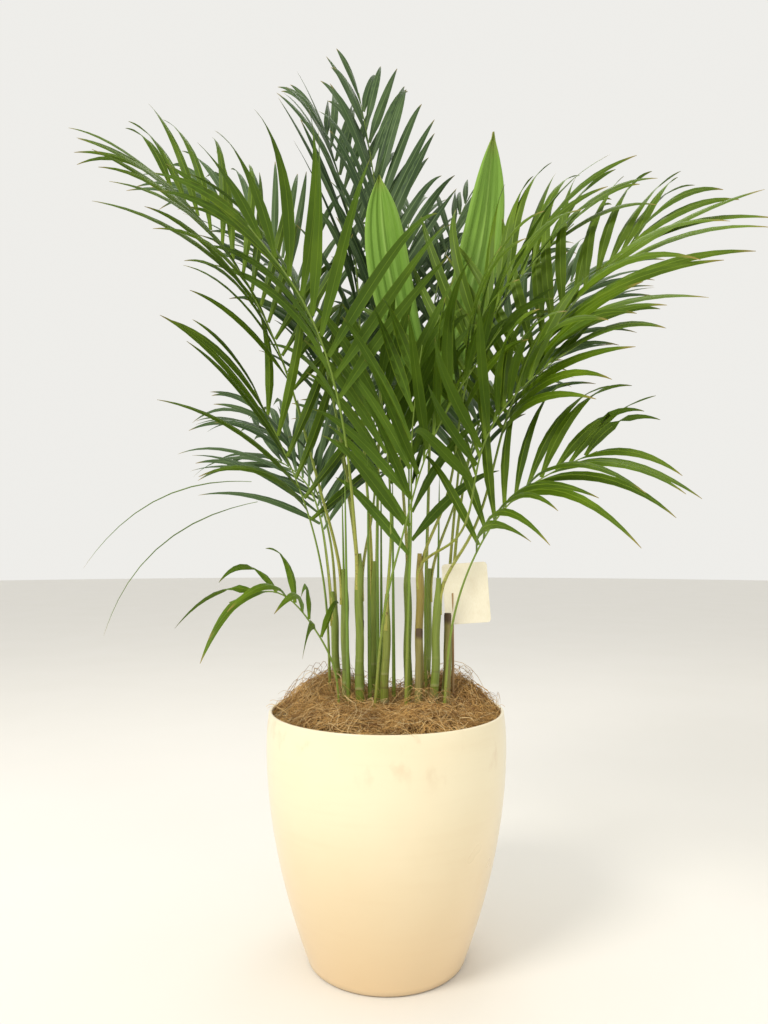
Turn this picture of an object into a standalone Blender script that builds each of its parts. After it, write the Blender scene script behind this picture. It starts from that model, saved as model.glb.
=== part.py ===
"""Potted areca palm, built from its own pieces: a tapering pot with drain holes, the potting
soil, a mat of coconut fibre with a hole for every stem, the canes, three cut stubs, one node
for each frond (petiole, midrib and leaflets grew as one piece), and a blank card on a stake.

Metres, +Z up. The origin is the centre of the pot's flat base. Heights in the plant's own
lists are above the pot's rim, so the plant rises with a taller pot.
"""

import cmath
import math

import bmesh
import bpy
import numpy as np
from mathutils import Vector
from mathutils.bvhtree import BVHTree

# Pot: a turned shell, widest a little under its rim
POT_HEIGHT = 0.300
POT_BASE_RADIUS = 0.096
POT_BELLY_RADIUS = 0.1495
POT_TURN_IN = 0.0025
POT_RIM_RADIUS = POT_BELLY_RADIUS - POT_TURN_IN
POT_BELLY_BELOW_RIM = 0.038
POT_TAPER_POWER = 1.9
POT_WALL = 0.0040
POT_FLOOR = 0.0060
POT_FOOT_ROUND = 0.0050
POT_SIDES = 40
DRAIN_RADIUS = 0.0060
DRAIN_RING_RADIUS = 0.050
DRAIN_COUNT = 3

# What fills the pot
SOIL_BELOW_RIM = 0.045
MULCH_EDGE_BELOW_RIM = 0.012
MULCH_MOUND = 0.022
MULCH_EDGE_GAP = 0.0030
FIT_GAP = 0.0004
STEM_HOLE_GAP = 0.0008
SOCKET_DEPTH = 0.050

# Stems
CANE_RADIUS = 0.0058
STUB_RADIUS = 0.0046
SPEAR_RADIUS = 0.0032
PETIOLE_RADIUS = 0.0025
PETIOLE_SPACING = 1.44 * PETIOLE_RADIUS  # from the cane's axis, enough for three in a ring
PETIOLE_HOLE_RADIUS = 1.3 * PETIOLE_RADIUS  # round, for a three-cornered petiole
PETIOLE_START_GAP = 0.0012
PETIOLE_STRAIGHT = 0.025
MIDRIB_TIP_RADIUS = 0.0009
MIDRIB_NARROWING = 0.8  # power of the share of length, so it narrows faster low down
STEM_NARROWING = 0.9
SPEAR_NARROWING = 0.25
GROWTH = 1.00

# Leaflets
LEAFLET_CLEARANCE = 0.0012
LEAFLET_KEEL = 0.0016
LONGEST_SHARE = 0.35  # where along the blade the leaflets are longest
MIDDLE_SHARE = 0.45
BARE_STEPS = 16  # of a midrib with no leaflets at all
LEAST_BARE_STEPS = 5

# How far each leaflet may turn (spread, lift in degrees), then shorten, to clear the others
TURNS = [(0, 0)]
TURNS += [(0, lift) for lift in (9, -9, 18, -18)]
TURNS += [(spread, lift) for spread in (-8, 8) for lift in (0, 10, -10, 20, -20)]
TURNS += [(0, 28), (0, -28), (-14, 0), (14, 0)]
SHRINKS = (1.0, 0.85, 0.7, 0.55, 0.4)

# How far a whole frond may move to or fro
NUDGES = [0.0] + [side * step * 0.004 for step in range(1, 9) for side in (1, -1)]

# Card on its stake
CARD_WIDTH = 0.057
CARD_HEIGHT = 0.076
CARD_THICKNESS = 0.0008
CARD_CENTRE = (0.1005, -0.0120, 0.146)
CARD_TILT = math.radians(4)
STAKE_RADIUS = 0.0016
STAKE_FOOT_X = 0.084

# name: foot x, y at the soil, top x, y and height above the rim
CANES = {
    "cane_left_outer": (-0.060, 0.026, -0.068, 0.032, 0.100),
    "cane_left_side": (-0.049, -0.006, -0.053, -0.006, 0.130),
    "cane_left_front": (-0.032, -0.024, -0.034, -0.028, 0.150),
    "cane_left_inner": (-0.018, 0.010, -0.016, 0.013, 0.140),
    "cane_left_near_middle": (-0.004, -0.022, 0.000, -0.026, 0.100),
    "cane_left_back": (-0.034, 0.044, -0.036, 0.054, 0.130),
    "cane_right_inner": (0.028, 0.022, 0.028, 0.026, 0.140),
    "cane_right_middle": (0.040, -0.010, 0.042, -0.014, 0.150),
    "cane_right_front": (0.056, -0.028, 0.062, -0.036, 0.120),
    "cane_right_outer": (0.072, 0.000, 0.080, 0.002, 0.110),
    "cane_right_back": (0.052, 0.036, 0.056, 0.046, 0.130),
}

# name: foot x, y, top x, y and height above the rim
STUBS = {
    "cut_stub_left": (-0.034, 0.001, -0.033, 0.002, 0.112),
    "cut_stub_middle": (0.038, -0.034, 0.040, -0.037, 0.104),
    "cut_stub_right": (0.073, -0.022, 0.076, -0.024, 0.122),
}

# Rolled-up new leaves, the same five numbers
SPEARS = {
    "cane_spear_left": (-0.046, -0.022, -0.052, -0.030, 0.300),
    "cane_spear_middle": (-0.010, -0.008, -0.012, -0.012, 0.340),
    "cane_spear_right": (0.028, -0.004, 0.029, -0.006, 0.360),
    "cane_spear_left_back": (-0.050, 0.016, -0.058, 0.018, 0.280),
    "cane_spear_left_near": (-0.020, -0.014, -0.024, -0.018, 0.320),
    "cane_spear_left_inner": (-0.006, 0.024, -0.007, 0.026, 0.300),
    "cane_spear_middle_back": (0.010, 0.008, 0.008, 0.010, 0.300),
    "cane_spear_right_back": (0.064, 0.020, 0.070, 0.024, 0.300),
}


class Frond:
    """One frond: where it is rooted, the points its midrib passes, and how its leaflets grow.

    root is a cane's name, or the x, y of a petiole that rises from the soil. guides are chosen
    by hand, in metres, the height above the rim. bare is the share of the midrib's length
    with no leaflets. spread and spread_tip are the angles between leaflet and midrib at the
    first and last pair, lift raises the leaflets out of the frond's plane, roll turns the
    frond about its midrib, droop is how far a tip hangs as a share of its length. apart is the
    share of its length past which a leaflet has to be clear of the others on its midrib.
    """

    def __init__(self, name, root, guides, pairs, length, width, bare=0.42, spread=52, spread_tip=16,
                 lift=28, droop=0.14, roll=0, apart=0.12):
        self.name = name
        self.root = root
        self.guides = guides
        self.pairs = pairs
        self.length = length
        self.width = width
        self.bare = bare
        self.spread = spread
        self.spread_tip = spread_tip
        self.lift = lift
        self.droop = droop
        self.roll = roll
        self.apart = apart


FRONDS = [
    Frond("young_leaf", (0.052, 0.012),
          [(0.050, 0.010, 0.12), (0.053, 0.004, 0.26), (0.056, 0.000, 0.40)],
          1, 0.385, 0.048, bare=0.97, spread=9, spread_tip=9, lift=0, droop=0.0, apart=0.40),
    Frond("frond_front_left", "cane_left_front",
          [(-0.04, -0.04, 0.24), (-0.06, -0.08, 0.39), (-0.10, -0.13, 0.49), (-0.15, -0.17, 0.55)],
          9, 0.26, 0.016, bare=0.48, spread=48, lift=26, droop=0.20),
    Frond("frond_left_sweep", "cane_left_side",
          [(-0.08, 0.00, 0.26), (-0.14, -0.01, 0.46), (-0.22, -0.03, 0.60), (-0.29, -0.05, 0.67)],
          14, 0.24, 0.012, bare=0.46, droop=0.20, roll=-50),
    Frond("frond_right_sweep", "cane_right_front",
          [(0.10, -0.03, 0.21), (0.15, -0.05, 0.37), (0.22, -0.08, 0.49), (0.30, -0.11, 0.57)],
          15, 0.25, 0.015, bare=0.44, spread=58, spread_tip=22, lift=20, droop=0.20, roll=50),
    Frond("frond_right_low", (0.064, -0.046),
          [(0.080, -0.045, 0.11), (0.110, -0.055, 0.20), (0.150, -0.08, 0.26), (0.235, -0.13, 0.31)],
          10, 0.22, 0.014, bare=0.60, spread_tip=22, droop=0.30, roll=50),
    Frond("frond_left_low", (-0.068, 0.008),
          [(-0.08, 0.00, 0.16), (-0.115, -0.01, 0.29), (-0.165, -0.035, 0.40)],
          6, 0.27, 0.014, bare=0.64, spread=60, spread_tip=20, droop=0.10, roll=-60),
    Frond("frond_left_small", (-0.052, -0.034),
          [(-0.062, -0.038, 0.05), (-0.09, -0.05, 0.11), (-0.13, -0.07, 0.15), (-0.18, -0.10, 0.14)],
          5, 0.115, 0.013, bare=0.56, droop=0.50, roll=-35),
    Frond("frond_right_front", "cane_right_middle",
          [(0.08, -0.05, 0.21), (0.11, -0.08, 0.31), (0.16, -0.12, 0.39), (0.22, -0.16, 0.43)],
          10, 0.21, 0.016, bare=0.42, droop=0.24, roll=25),
    Frond("frond_left_mid_back", "cane_left_outer",
          [(-0.08, 0.05, 0.19), (-0.11, 0.10, 0.29), (-0.17, 0.16, 0.34)],
          9, 0.21, 0.013, droop=0.20, roll=-40),
    Frond("frond_left_back", "cane_left_back",
          [(-0.06, 0.06, 0.34), (-0.12, 0.09, 0.56), (-0.20, 0.11, 0.68), (-0.29, 0.12, 0.74)],
          16, 0.20, 0.012, bare=0.46, droop=0.22, roll=-45),
    Frond("frond_back_left_high", "cane_left_inner",
          [(-0.03, 0.05, 0.34), (-0.05, 0.09, 0.66), (-0.10, 0.15, 0.855)],
          14, 0.22, 0.015, bare=0.46, spread=36),
    Frond("frond_back_high", "cane_left_inner",
          [(-0.01, 0.05, 0.34), (-0.01, 0.09, 0.66), (-0.04, 0.14, 0.87)],
          14, 0.21, 0.016, bare=0.46, spread=32),
    Frond("frond_centre_back", "cane_right_inner",
          [(0.02, 0.08, 0.34), (0.03, 0.17, 0.62), (0.04, 0.27, 0.78)],
          14, 0.16, 0.015, spread=60),
    Frond("frond_right_back", "cane_right_back",
          [(0.06, 0.07, 0.34), (0.08, 0.12, 0.61), (0.13, 0.18, 0.75)],
          14, 0.18, 0.011, spread=38, droop=0.22),
    Frond("frond_middle_cross", (-0.020, -0.042),
          [(0.00, -0.05, 0.14), (0.02, -0.06, 0.22), (0.05, -0.08, 0.32), (0.13, -0.13, 0.45)],
          8, 0.21, 0.016, bare=0.55, spread=48, lift=20, droop=0.20),
    Frond("frond_right_mid", "cane_right_middle",
          [(0.07, -0.02, 0.25), (0.10, -0.04, 0.41), (0.16, -0.05, 0.53), (0.23, -0.06, 0.60)],
          12, 0.24, 0.015, spread=48, droop=0.18, roll=40),
    Frond("frond_right_behind", "cane_right_outer",
          [(0.10, 0.03, 0.27), (0.16, 0.07, 0.45), (0.28, 0.11, 0.60)],
          13, 0.23, 0.013, droop=0.20, roll=40),
    Frond("frond_middle_front", (0.022, -0.038),
          [(0.027, -0.045, 0.14), (0.03, -0.055, 0.24), (0.03, -0.08, 0.33), (0.04, -0.13, 0.43)],
          7, 0.20, 0.016, bare=0.52, spread=42, droop=0.18),
    Frond("frond_back_right_low", "cane_right_back",
          [(0.09, 0.08, 0.25), (0.15, 0.17, 0.40), (0.22, 0.25, 0.47)],
          13, 0.20, 0.015, droop=0.22),
    Frond("frond_back_middle_low", "cane_left_back",
          [(-0.02, 0.11, 0.25), (-0.02, 0.20, 0.42), (-0.03, 0.29, 0.50)],
          13, 0.20, 0.015, droop=0.22),
    Frond("frond_back_left_low", "cane_left_outer",
          [(-0.08, 0.10, 0.22), (-0.15, 0.18, 0.36), (-0.22, 0.24, 0.40)],
          13, 0.20, 0.014, droop=0.24),
    Frond("frond_back_left_mid", "cane_left_back",
          [(-0.06, 0.09, 0.32), (-0.12, 0.17, 0.55), (-0.20, 0.23, 0.65)],
          14, 0.21, 0.015, droop=0.20),
    Frond("frond_back_right_mid", "cane_right_outer",
          [(0.10, 0.06, 0.32), (0.15, 0.14, 0.54), (0.22, 0.20, 0.65)],
          14, 0.21, 0.015, droop=0.20),
    Frond("frond_centre_low", "cane_left_near_middle",
          [(0.005, -0.03, 0.20), (0.00, -0.05, 0.33), (-0.01, -0.08, 0.42)],
          6, 0.21, 0.017, bare=0.50, spread=40),
]

UP = np.array((0.0, 0.0, 1.0))
HEART = np.array((0.005, 0.0, 0.0))
STREAM = 41


# ---------------------------------------------------------------- small helpers

def unit(vector):
    return vector / np.linalg.norm(vector)


def clear_scene():
    for obj in list(bpy.data.objects):
        bpy.data.objects.remove(obj, do_unlink=True)


def make_collection(name, hidden=False):
    collection = bpy.data.collections.new(name)
    bpy.context.scene.collection.children.link(collection)
    collection.hide_render = hidden
    return collection


def make_material(name, colour, roughness, metallic=0.0):
    material = bpy.data.materials.new(name)
    material.use_nodes = True
    shader = material.node_tree.nodes["Principled BSDF"]
    shader.inputs["Base Color"].default_value = (*colour, 1.0)
    shader.inputs["Roughness"].default_value = roughness
    shader.inputs["Metallic"].default_value = metallic
    return material


def add_object(name, data, collection, material=None):
    obj = bpy.data.objects.new(name, data)
    collection.objects.link(obj)
    if material is not None:
        data.materials.append(material)
    return obj


def mesh_from_bmesh(name, shape):
    bmesh.ops.recalc_face_normals(shape, faces=shape.faces)
    if shape.calc_volume(signed=True) < 0:
        bmesh.ops.reverse_faces(shape, faces=shape.faces)
    mesh = bpy.data.meshes.new(name)
    shape.to_mesh(mesh)
    shape.free()
    return mesh


# ---------------------------------------------------------------- pot, soil and mulch

def pot_radius(height):
    """Outer radius at a height: a power curve from base to belly, then a slow turn in to the rim."""
    belly_height = POT_HEIGHT - POT_BELLY_BELOW_RIM
    if height >= belly_height:
        share = (height - belly_height) / POT_BELLY_BELOW_RIM
        return POT_BELLY_RADIUS - (POT_BELLY_RADIUS - POT_RIM_RADIUS) * share ** 2
    share = (belly_height - height) / belly_height
    return POT_BELLY_RADIUS - (POT_BELLY_RADIUS - POT_BASE_RADIUS) * share ** POT_TAPER_POWER


def inner_radius(height):
    return pot_radius(height) - POT_WALL


def turned(name, profile, collection, material):
    """A solid turned about Z from (radius, height) points, its outer side running downwards."""
    mesh = bpy.data.meshes.new(name)
    points = [(radius, 0.0, height) for radius, height in profile]
    mesh.from_pydata(points, [(i, i + 1) for i in range(len(points) - 1)], [])
    obj = add_object(name, mesh, collection, material)
    screw = obj.modifiers.new("Turn", "SCREW")
    screw.axis = "Z"
    screw.steps = POT_SIDES
    screw.render_steps = POT_SIDES
    screw.use_merge_vertices = True
    screw.merge_threshold = 0.00001
    screw.use_smooth_shade = True
    return obj


def make_pot(collection, cutters, material):
    wall_heights = np.linspace(POT_FOOT_ROUND, POT_HEIGHT, 12)
    inner = [(0.0, POT_FLOOR)]
    inner += [(inner_radius(height), height) for height in np.linspace(POT_FLOOR, POT_HEIGHT, 9)]
    outer = [(pot_radius(height), height) for height in wall_heights[::-1]]
    lip = [(POT_RIM_RADIUS - POT_WALL / 2, POT_HEIGHT + POT_WALL / 3)]
    foot_radius = pot_radius(POT_FOOT_ROUND)
    foot = []
    for angle in np.radians((30, 60, 90)):
        radius = foot_radius - POT_FOOT_ROUND * (1 - math.cos(angle))
        foot.append((radius, POT_FOOT_ROUND * (1 - math.sin(angle))))
    pot = turned("pot", inner + lip + outer + foot + [(0.0, 0.0)], collection, material)
    for number in range(DRAIN_COUNT):
        angle = math.tau * (number + 0.5) / DRAIN_COUNT
        centre = (DRAIN_RING_RADIUS * math.cos(angle), DRAIN_RING_RADIUS * math.sin(angle), POT_FLOOR / 2)
        cut_round_hole(pot, f"drain_{number + 1}", centre, UP, DRAIN_RADIUS, 2 * POT_FLOOR, cutters)
    return pot


def cut_round_hole(target, name, centre, axis, radius, depth, cutters):
    """Boolean hole: a twelve-sided cylinder about centre, along axis, depth long in all."""
    cutter = cutters.objects.get(name)
    if cutter is None:
        shape = bmesh.new()
        bmesh.ops.create_cone(shape, cap_ends=True, segments=12, radius1=radius, radius2=radius, depth=depth)
        cutter = add_object(name, mesh_from_bmesh(name, shape), cutters)
        cutter.location = centre
        cutter.rotation_mode = "QUATERNION"
        cutter.rotation_quaternion = Vector(axis).to_track_quat("Z", "Y")
        cutter.hide_render = True
        cutter.display_type = "WIRE"
    cut = target.modifiers.new(name, "BOOLEAN")
    cut.operation = "DIFFERENCE"
    cut.solver = "EXACT"
    cut.object = cutter


def soil_top():
    return POT_HEIGHT - SOIL_BELOW_RIM


def make_soil(collection, material):
    heights = np.linspace(POT_FLOOR + FIT_GAP, soil_top(), 7)
    outer = [(inner_radius(height) - FIT_GAP, height) for height in heights[::-1]]
    return turned("potting_soil", [(0.0, soil_top())] + outer + [(0.0, heights[0])], collection, material)


def mulch_height(x, y):
    """Top of the fibre mat above its edge: a low dome, higher at the back right and round the stems."""
    radius = inner_radius(POT_HEIGHT - MULCH_EDGE_BELOW_RIM)
    dome = max(0.0, 1.0 - (x * x + y * y) / radius ** 2)
    back = math.exp(-((x - 0.075) ** 2 + (y - 0.060) ** 2) / 0.045 ** 2)
    left = math.exp(-((x + 0.060) ** 2 + (y - 0.040) ** 2) / 0.050 ** 2)
    ripple = 0.12 * math.sin(55 * x + 1.3) * math.cos(48 * y + 0.4)
    return MULCH_MOUND * (0.55 * dome ** 0.7 + 0.8 * back + 0.7 * left + ripple * dome)


def make_mulch(collection, material):
    """A disc spun about Z, then its top raised into mounds. Its edge follows the pot's wall."""
    bottom = soil_top() + FIT_GAP
    top = POT_HEIGHT - MULCH_EDGE_BELOW_RIM
    bottom_radius = inner_radius(bottom) - MULCH_EDGE_GAP
    top_radius = inner_radius(top) - MULCH_EDGE_GAP
    shape = bmesh.new()
    profile = [(0.0, bottom), (bottom_radius, bottom), (top_radius, top - 0.006), (top_radius - 0.006, top)]
    profile += [(share * top_radius, top) for share in (0.80, 0.62, 0.42, 0.22)] + [(0.0, top)]
    verts = [shape.verts.new((radius, 0.0, height)) for radius, height in profile]
    edges = [shape.edges.new(pair) for pair in zip(verts, verts[1:])]
    bmesh.ops.spin(shape, geom=verts + edges, axis=UP, cent=(0, 0, 0), dvec=(0, 0, 0),
                   angle=math.tau, steps=POT_SIDES, use_merge=False, use_duplicate=False)
    bmesh.ops.remove_doubles(shape, verts=shape.verts, dist=0.00001)
    for vert in shape.verts:
        if vert.co.z > top - 0.001:
            vert.co.z += mulch_height(vert.co.x, vert.co.y)
    return add_object("coir_mulch", mesh_from_bmesh("coir_mulch", shape), collection, material)


# ---------------------------------------------------------------- stems

def stem_line(foot_x, foot_y, top_x, top_y, top_above_rim):
    """Foot in the soil's socket, and top, of a straight stem."""
    top = np.array((top_x, top_y, POT_HEIGHT + GROWTH * top_above_rim))
    surface = np.array((foot_x, foot_y, soil_top()))
    foot = surface - unit(top - surface) * SOCKET_DEPTH
    return foot, top


def make_tube(name, points, radius, collection, material, end_share=1.0):
    """A round stem as a curve with a bevel and closed ends, narrowing to end_share of its radius."""
    curve = bpy.data.curves.new(name, "CURVE")
    curve.dimensions = "3D"
    curve.bevel_depth = radius
    curve.bevel_resolution = 2
    curve.use_fill_caps = True
    spline = curve.splines.new("POLY")
    spline.points.add(len(points) - 1)
    for number, point in enumerate(points):
        spline.points[number].co = (*point, 1.0)
        spline.points[number].radius = 1 + (end_share - 1) * number / (len(points) - 1)
    return add_object(name, curve, collection, material)


def cut_socket(name, foot, direction, radius, soil, mulch, cutters):
    """A hole for a stem through the mat, and on into the soil, with clearance all round."""
    hole = radius / math.cos(math.pi / 12) + STEM_HOLE_GAP
    length = SOCKET_DEPTH + SOIL_BELOW_RIM + 3 * MULCH_MOUND
    centre = foot + direction * (length / 2 - FIT_GAP)
    cut_round_hole(soil, f"socket_{name}", centre, direction, hole, length, cutters)
    cut_round_hole(mulch, f"socket_{name}", centre, direction, hole, length, cutters)


# ---------------------------------------------------------------- fronds

def spline_through(points, samples):
    """A natural cubic through the points, by chord length, read at even steps of its length."""
    knots = np.array(points, float)
    chords = np.concatenate([[0], np.cumsum(np.linalg.norm(np.diff(knots, axis=0), axis=1))])
    count = len(knots)
    gaps = np.diff(chords)
    matrix = np.eye(count)
    wanted = np.zeros((count, 3))
    for i in range(1, count - 1):
        matrix[i, i - 1:i + 2] = gaps[i - 1], 2 * (gaps[i - 1] + gaps[i]), gaps[i]
        slopes = (knots[i + 1] - knots[i]) / gaps[i] - (knots[i] - knots[i - 1]) / gaps[i - 1]
        wanted[i] = 6 * slopes
    bend = np.linalg.solve(matrix, wanted)
    fine = np.linspace(0, chords[-1], 400)
    k = np.clip(np.searchsorted(chords, fine) - 1, 0, count - 2)
    gap = gaps[k][:, None]
    before = (chords[k + 1] - fine)[:, None] / gap
    after = 1 - before
    curve = before * knots[k] + after * knots[k + 1]
    curve += ((before ** 3 - before) * bend[k] + (after ** 3 - after) * bend[k + 1]) * gap ** 2 / 6
    run = np.concatenate([[0], np.cumsum(np.linalg.norm(np.diff(curve, axis=0), axis=1))])
    even = np.array(samples) * run[-1]
    return np.stack([np.interp(even, run, curve[:, axis]) for axis in range(3)], axis=1)


class Midrib:
    """A frond's petiole and midrib: stations along its curve, each with its own three axes.

    The upper side keeps facing the plant's heart: inward where the petiole stands, upward
    where the frond arches over. Left and right leaflets take every other step of the blade.
    """

    def __init__(self, frond, feet, nudge):
        self.frond = frond
        guides = [grown(*guide) for guide in frond.guides]
        weights = np.linspace(0.4, 1.0, len(guides))
        guides = [guide + np.array((0.0, nudge * weight, 0.0)) for guide, weight in zip(guides, weights)]
        knots = feet + guides
        bare_steps = max(LEAST_BARE_STEPS, int(BARE_STEPS * frond.bare))
        blade_steps = 2 * frond.pairs + 1
        stations = np.concatenate([
            np.linspace(0, frond.bare, bare_steps, endpoint=False),
            np.linspace(frond.bare, 1, blade_steps + 1),
        ])
        self.first_leaf_step = bare_steps
        self.points = spline_through(knots, stations)
        self.tangents = np.gradient(self.points, axis=0)
        self.tangents /= np.linalg.norm(self.tangents, axis=1)[:, None]
        heading = (knots[-1] - feet[0]) * np.array((1.0, 1.0, 0.0))
        heading = unit(heading + np.array((0.0, 1e-6, 0.0)))
        along = self.tangents @ heading
        rise = self.tangents[:, 2]
        upper = along[:, None] * UP - rise[:, None] * heading
        upper -= (upper * self.tangents).sum(axis=1)[:, None] * self.tangents
        upper /= np.linalg.norm(upper, axis=1)[:, None]
        right = np.cross(self.tangents, upper)
        roll = math.radians(frond.roll)
        self.upper = upper * math.cos(roll) + right * math.sin(roll)
        self.right = np.cross(self.tangents, self.upper)
        share = np.linspace(0, 1, len(stations)) ** MIDRIB_NARROWING
        self.radii = PETIOLE_RADIUS + (MIDRIB_TIP_RADIUS - PETIOLE_RADIUS) * share

    def rings(self, extra=0.0):
        """(stations, 3, 3): upper right, upper left and keel corner of each section."""
        radius = (self.radii + extra)[:, None]
        right = self.points + self.right * radius + self.upper * radius * 0.5
        left = self.points - self.right * radius + self.upper * radius * 0.5
        keel = self.points - self.upper * radius
        return np.stack([right, left, keel], axis=1)

    def tip(self):
        return self.points[-1] + self.tangents[-1] * 3 * MIDRIB_TIP_RADIUS


class Leaflet:
    """One leaflet: its base corners on the midrib, and a curve from there to its tip."""

    def __init__(self, midrib, step, side, draw):
        frond = midrib.frond
        steps = 2 * frond.pairs
        share = (step - midrib.first_leaf_step) / steps
        self.step = step
        self.side = side
        spread = frond.spread + (frond.spread_tip - frond.spread) * share + 5 * draw[0]
        lift = frond.lift * (1 - 0.4 * share) + 7 * draw[1]
        profile = 1 - 1.1 * ((share - LONGEST_SHARE) / 0.9) ** 2
        self.length = GROWTH * frond.length * profile * (1 + 0.08 * draw[2])
        self.width = frond.width * (0.7 + 0.3 * profile)
        self.droop = frond.droop * (1 + 0.35 * draw[3])
        self.spread = math.radians(spread)
        self.lift = math.radians(lift)
        low, high = midrib.rings()[step:step + 2]
        corner = 0 if side > 0 else 1
        self.base = [low[corner], high[corner], low[2]]
        self.root = (low[corner] + high[corner]) / 2
        self.along = midrib.tangents[step]
        self.out = midrib.right[step] * side
        self.upper = midrib.upper[step]

    def curve(self, turn, shrink, shares):
        """Points of the leaflet's centre line, with its width and face directions there."""
        spread = self.spread + turn[0]
        lift = self.lift + turn[1]
        sideways = math.cos(lift) * self.out + math.sin(lift) * self.upper
        heading = math.cos(spread) * self.along + math.sin(spread) * sideways
        length = self.length * shrink
        share = np.array(shares)[:, None]
        points = self.root + heading * length * share - UP * self.droop * length * share ** 2
        slope = heading - 2 * UP * self.droop * share
        slope /= np.linalg.norm(slope, axis=1)[:, None]
        across = self.along - (slope @ self.along)[:, None] * slope
        across /= np.linalg.norm(across, axis=1)[:, None]
        face = np.cross(slope, across) * self.side
        return points, across, face

    def section(self, turn, shrink, share, extra=0.0):
        """Rear edge, front edge and keel of the blade at a share of its length."""
        points, across, face = self.curve(turn, shrink, [share])
        half = self.width / 2 + extra
        rear = points[0] - across[0] * half + face[0] * extra
        front = points[0] + across[0] * half + face[0] * extra
        keel = points[0] - face[0] * (LEAFLET_KEEL + extra)
        return rear, front, keel

    def tip(self, turn, shrink, extra=0.0):
        return self.curve(turn, shrink, [1.0 + extra / self.length])[0][0]


def prism_tree(rings, tip=None):
    """Search tree of a lofted three-cornered shape, open at its start."""
    points = [Vector(corner) for ring in rings for corner in ring]
    faces = []
    for ring in range(len(rings) - 1):
        for a, b in ((0, 1), (1, 2), (2, 0)):
            low, high = 3 * ring, 3 * ring + 3
            faces.append((low + a, low + b, high + b))
            faces.append((low + a, high + b, high + a))
    if tip is not None:
        points.append(Vector(tip))
        last = 3 * (len(rings) - 1)
        faces += [(last + a, last + b, len(points) - 1) for a, b in ((0, 1), (1, 2), (2, 0))]
    return BVHTree.FromPolygons(points, faces)


def leaflet_tree(leaflet, turn, shrink, extra=0.0, start=None):
    """Search tree of a leaflet grown by extra all round, from its base or from a share of its length."""
    first = leaflet.base if start is None else leaflet.section(turn, shrink, start, extra)
    rings = [first, leaflet.section(turn, shrink, MIDDLE_SHARE, extra)]
    return prism_tree(rings, leaflet.tip(turn, shrink, extra))


def is_clear(tree, others):
    return not any(tree.overlap(other) for other in others)


def grown(x, y, above_rim):
    """A frond's guide point after growth, which spreads the plant about its heart and raises it."""
    point = HEART + (np.array((x, y, above_rim)) - HEART) * GROWTH
    return point + UP * POT_HEIGHT


def frond_foot(frond):
    """The straight start of a petiole: on its cane's top, or up through its own socket in the soil.

    Petioles on one cane stand in a ring on its top, in the order of the ways they lean.
    """
    if isinstance(frond.root, str):
        foot, top = stem_line(*CANES[frond.root])
        sharing = [other for other in FRONDS if other.root == frond.root]
        ways = [complex(*other.guides[-1][:2]) - complex(top[0], top[1]) for other in sharing]
        middle = sum(way / abs(way) for way in ways)
        order = sorted(range(len(sharing)), key=lambda i: cmath.phase(ways[i] / middle))
        place = order.index(sharing.index(frond)) - (len(sharing) - 1) / 2
        angle = cmath.phase(middle) + math.tau * place / len(sharing)
        outward = np.array((math.cos(angle), math.sin(angle), 0.0))
        start = top + outward * PETIOLE_SPACING + UP * PETIOLE_START_GAP
        return [start, start + unit(top - foot) * PETIOLE_STRAIGHT]
    surface = np.array((*frond.root, soil_top()))
    straight = unit(grown(*frond.guides[0]) - surface)
    foot = surface - straight * SOCKET_DEPTH
    return [foot + straight * run for run in (0.0, 0.5 * SOCKET_DEPTH, SOCKET_DEPTH, 2 * SOCKET_DEPTH)]


def place_midribs(solid_trees):
    """Every frond's midrib, moved to or fro until it is clear of those placed before it."""
    placed = []
    for frond in FRONDS:
        feet = frond_foot(frond)
        for nudge in NUDGES:
            midrib = Midrib(frond, feet, nudge)
            rings = midrib.rings(extra=LEAFLET_CLEARANCE)
            skip = 1 if isinstance(frond.root, str) else 0
            tree = prism_tree(rings[skip:], midrib.tip())
            if is_clear(tree, solid_trees + [other.tree for other in placed]):
                break
        midrib.tree = tree
        placed.append(midrib)
    return placed


def place_leaflets(midribs, solid_trees):
    """Every frond's leaflets: each is turned, then shortened, until it crosses nothing."""
    blades = []
    for number, midrib in enumerate(midribs):
        random = np.random.default_rng(STREAM + number)
        others = solid_trees + [other.tree for other in midribs if other is not midrib] + blades
        own = []
        midrib.leaflets = []
        for step in range(2 * midrib.frond.pairs):
            leaflet = Leaflet(midrib, midrib.first_leaf_step + step, 1 if step % 2 == 0 else -1,
                              random.uniform(-1, 1, 4))
            placed = find_place(leaflet, others, own, midrib.frond.apart)
            if placed is not None:
                leaflet.turn, leaflet.shrink = placed
                midrib.leaflets.append(leaflet)
                own.append(leaflet_tree(leaflet, *placed, start=midrib.frond.apart))
        blades += [leaflet_tree(leaf, leaf.turn, leaf.shrink) for leaf in midrib.leaflets]


def find_place(leaflet, others, own, apart):
    for shrink in SHRINKS:
        for spread, lift in TURNS:
            turn = (math.radians(spread), math.radians(lift))
            if not is_clear(leaflet_tree(leaflet, turn, shrink, LEAFLET_CLEARANCE), others):
                continue
            if is_clear(leaflet_tree(leaflet, turn, shrink, LEAFLET_CLEARANCE, apart), own):
                return turn, shrink
    return None


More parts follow.
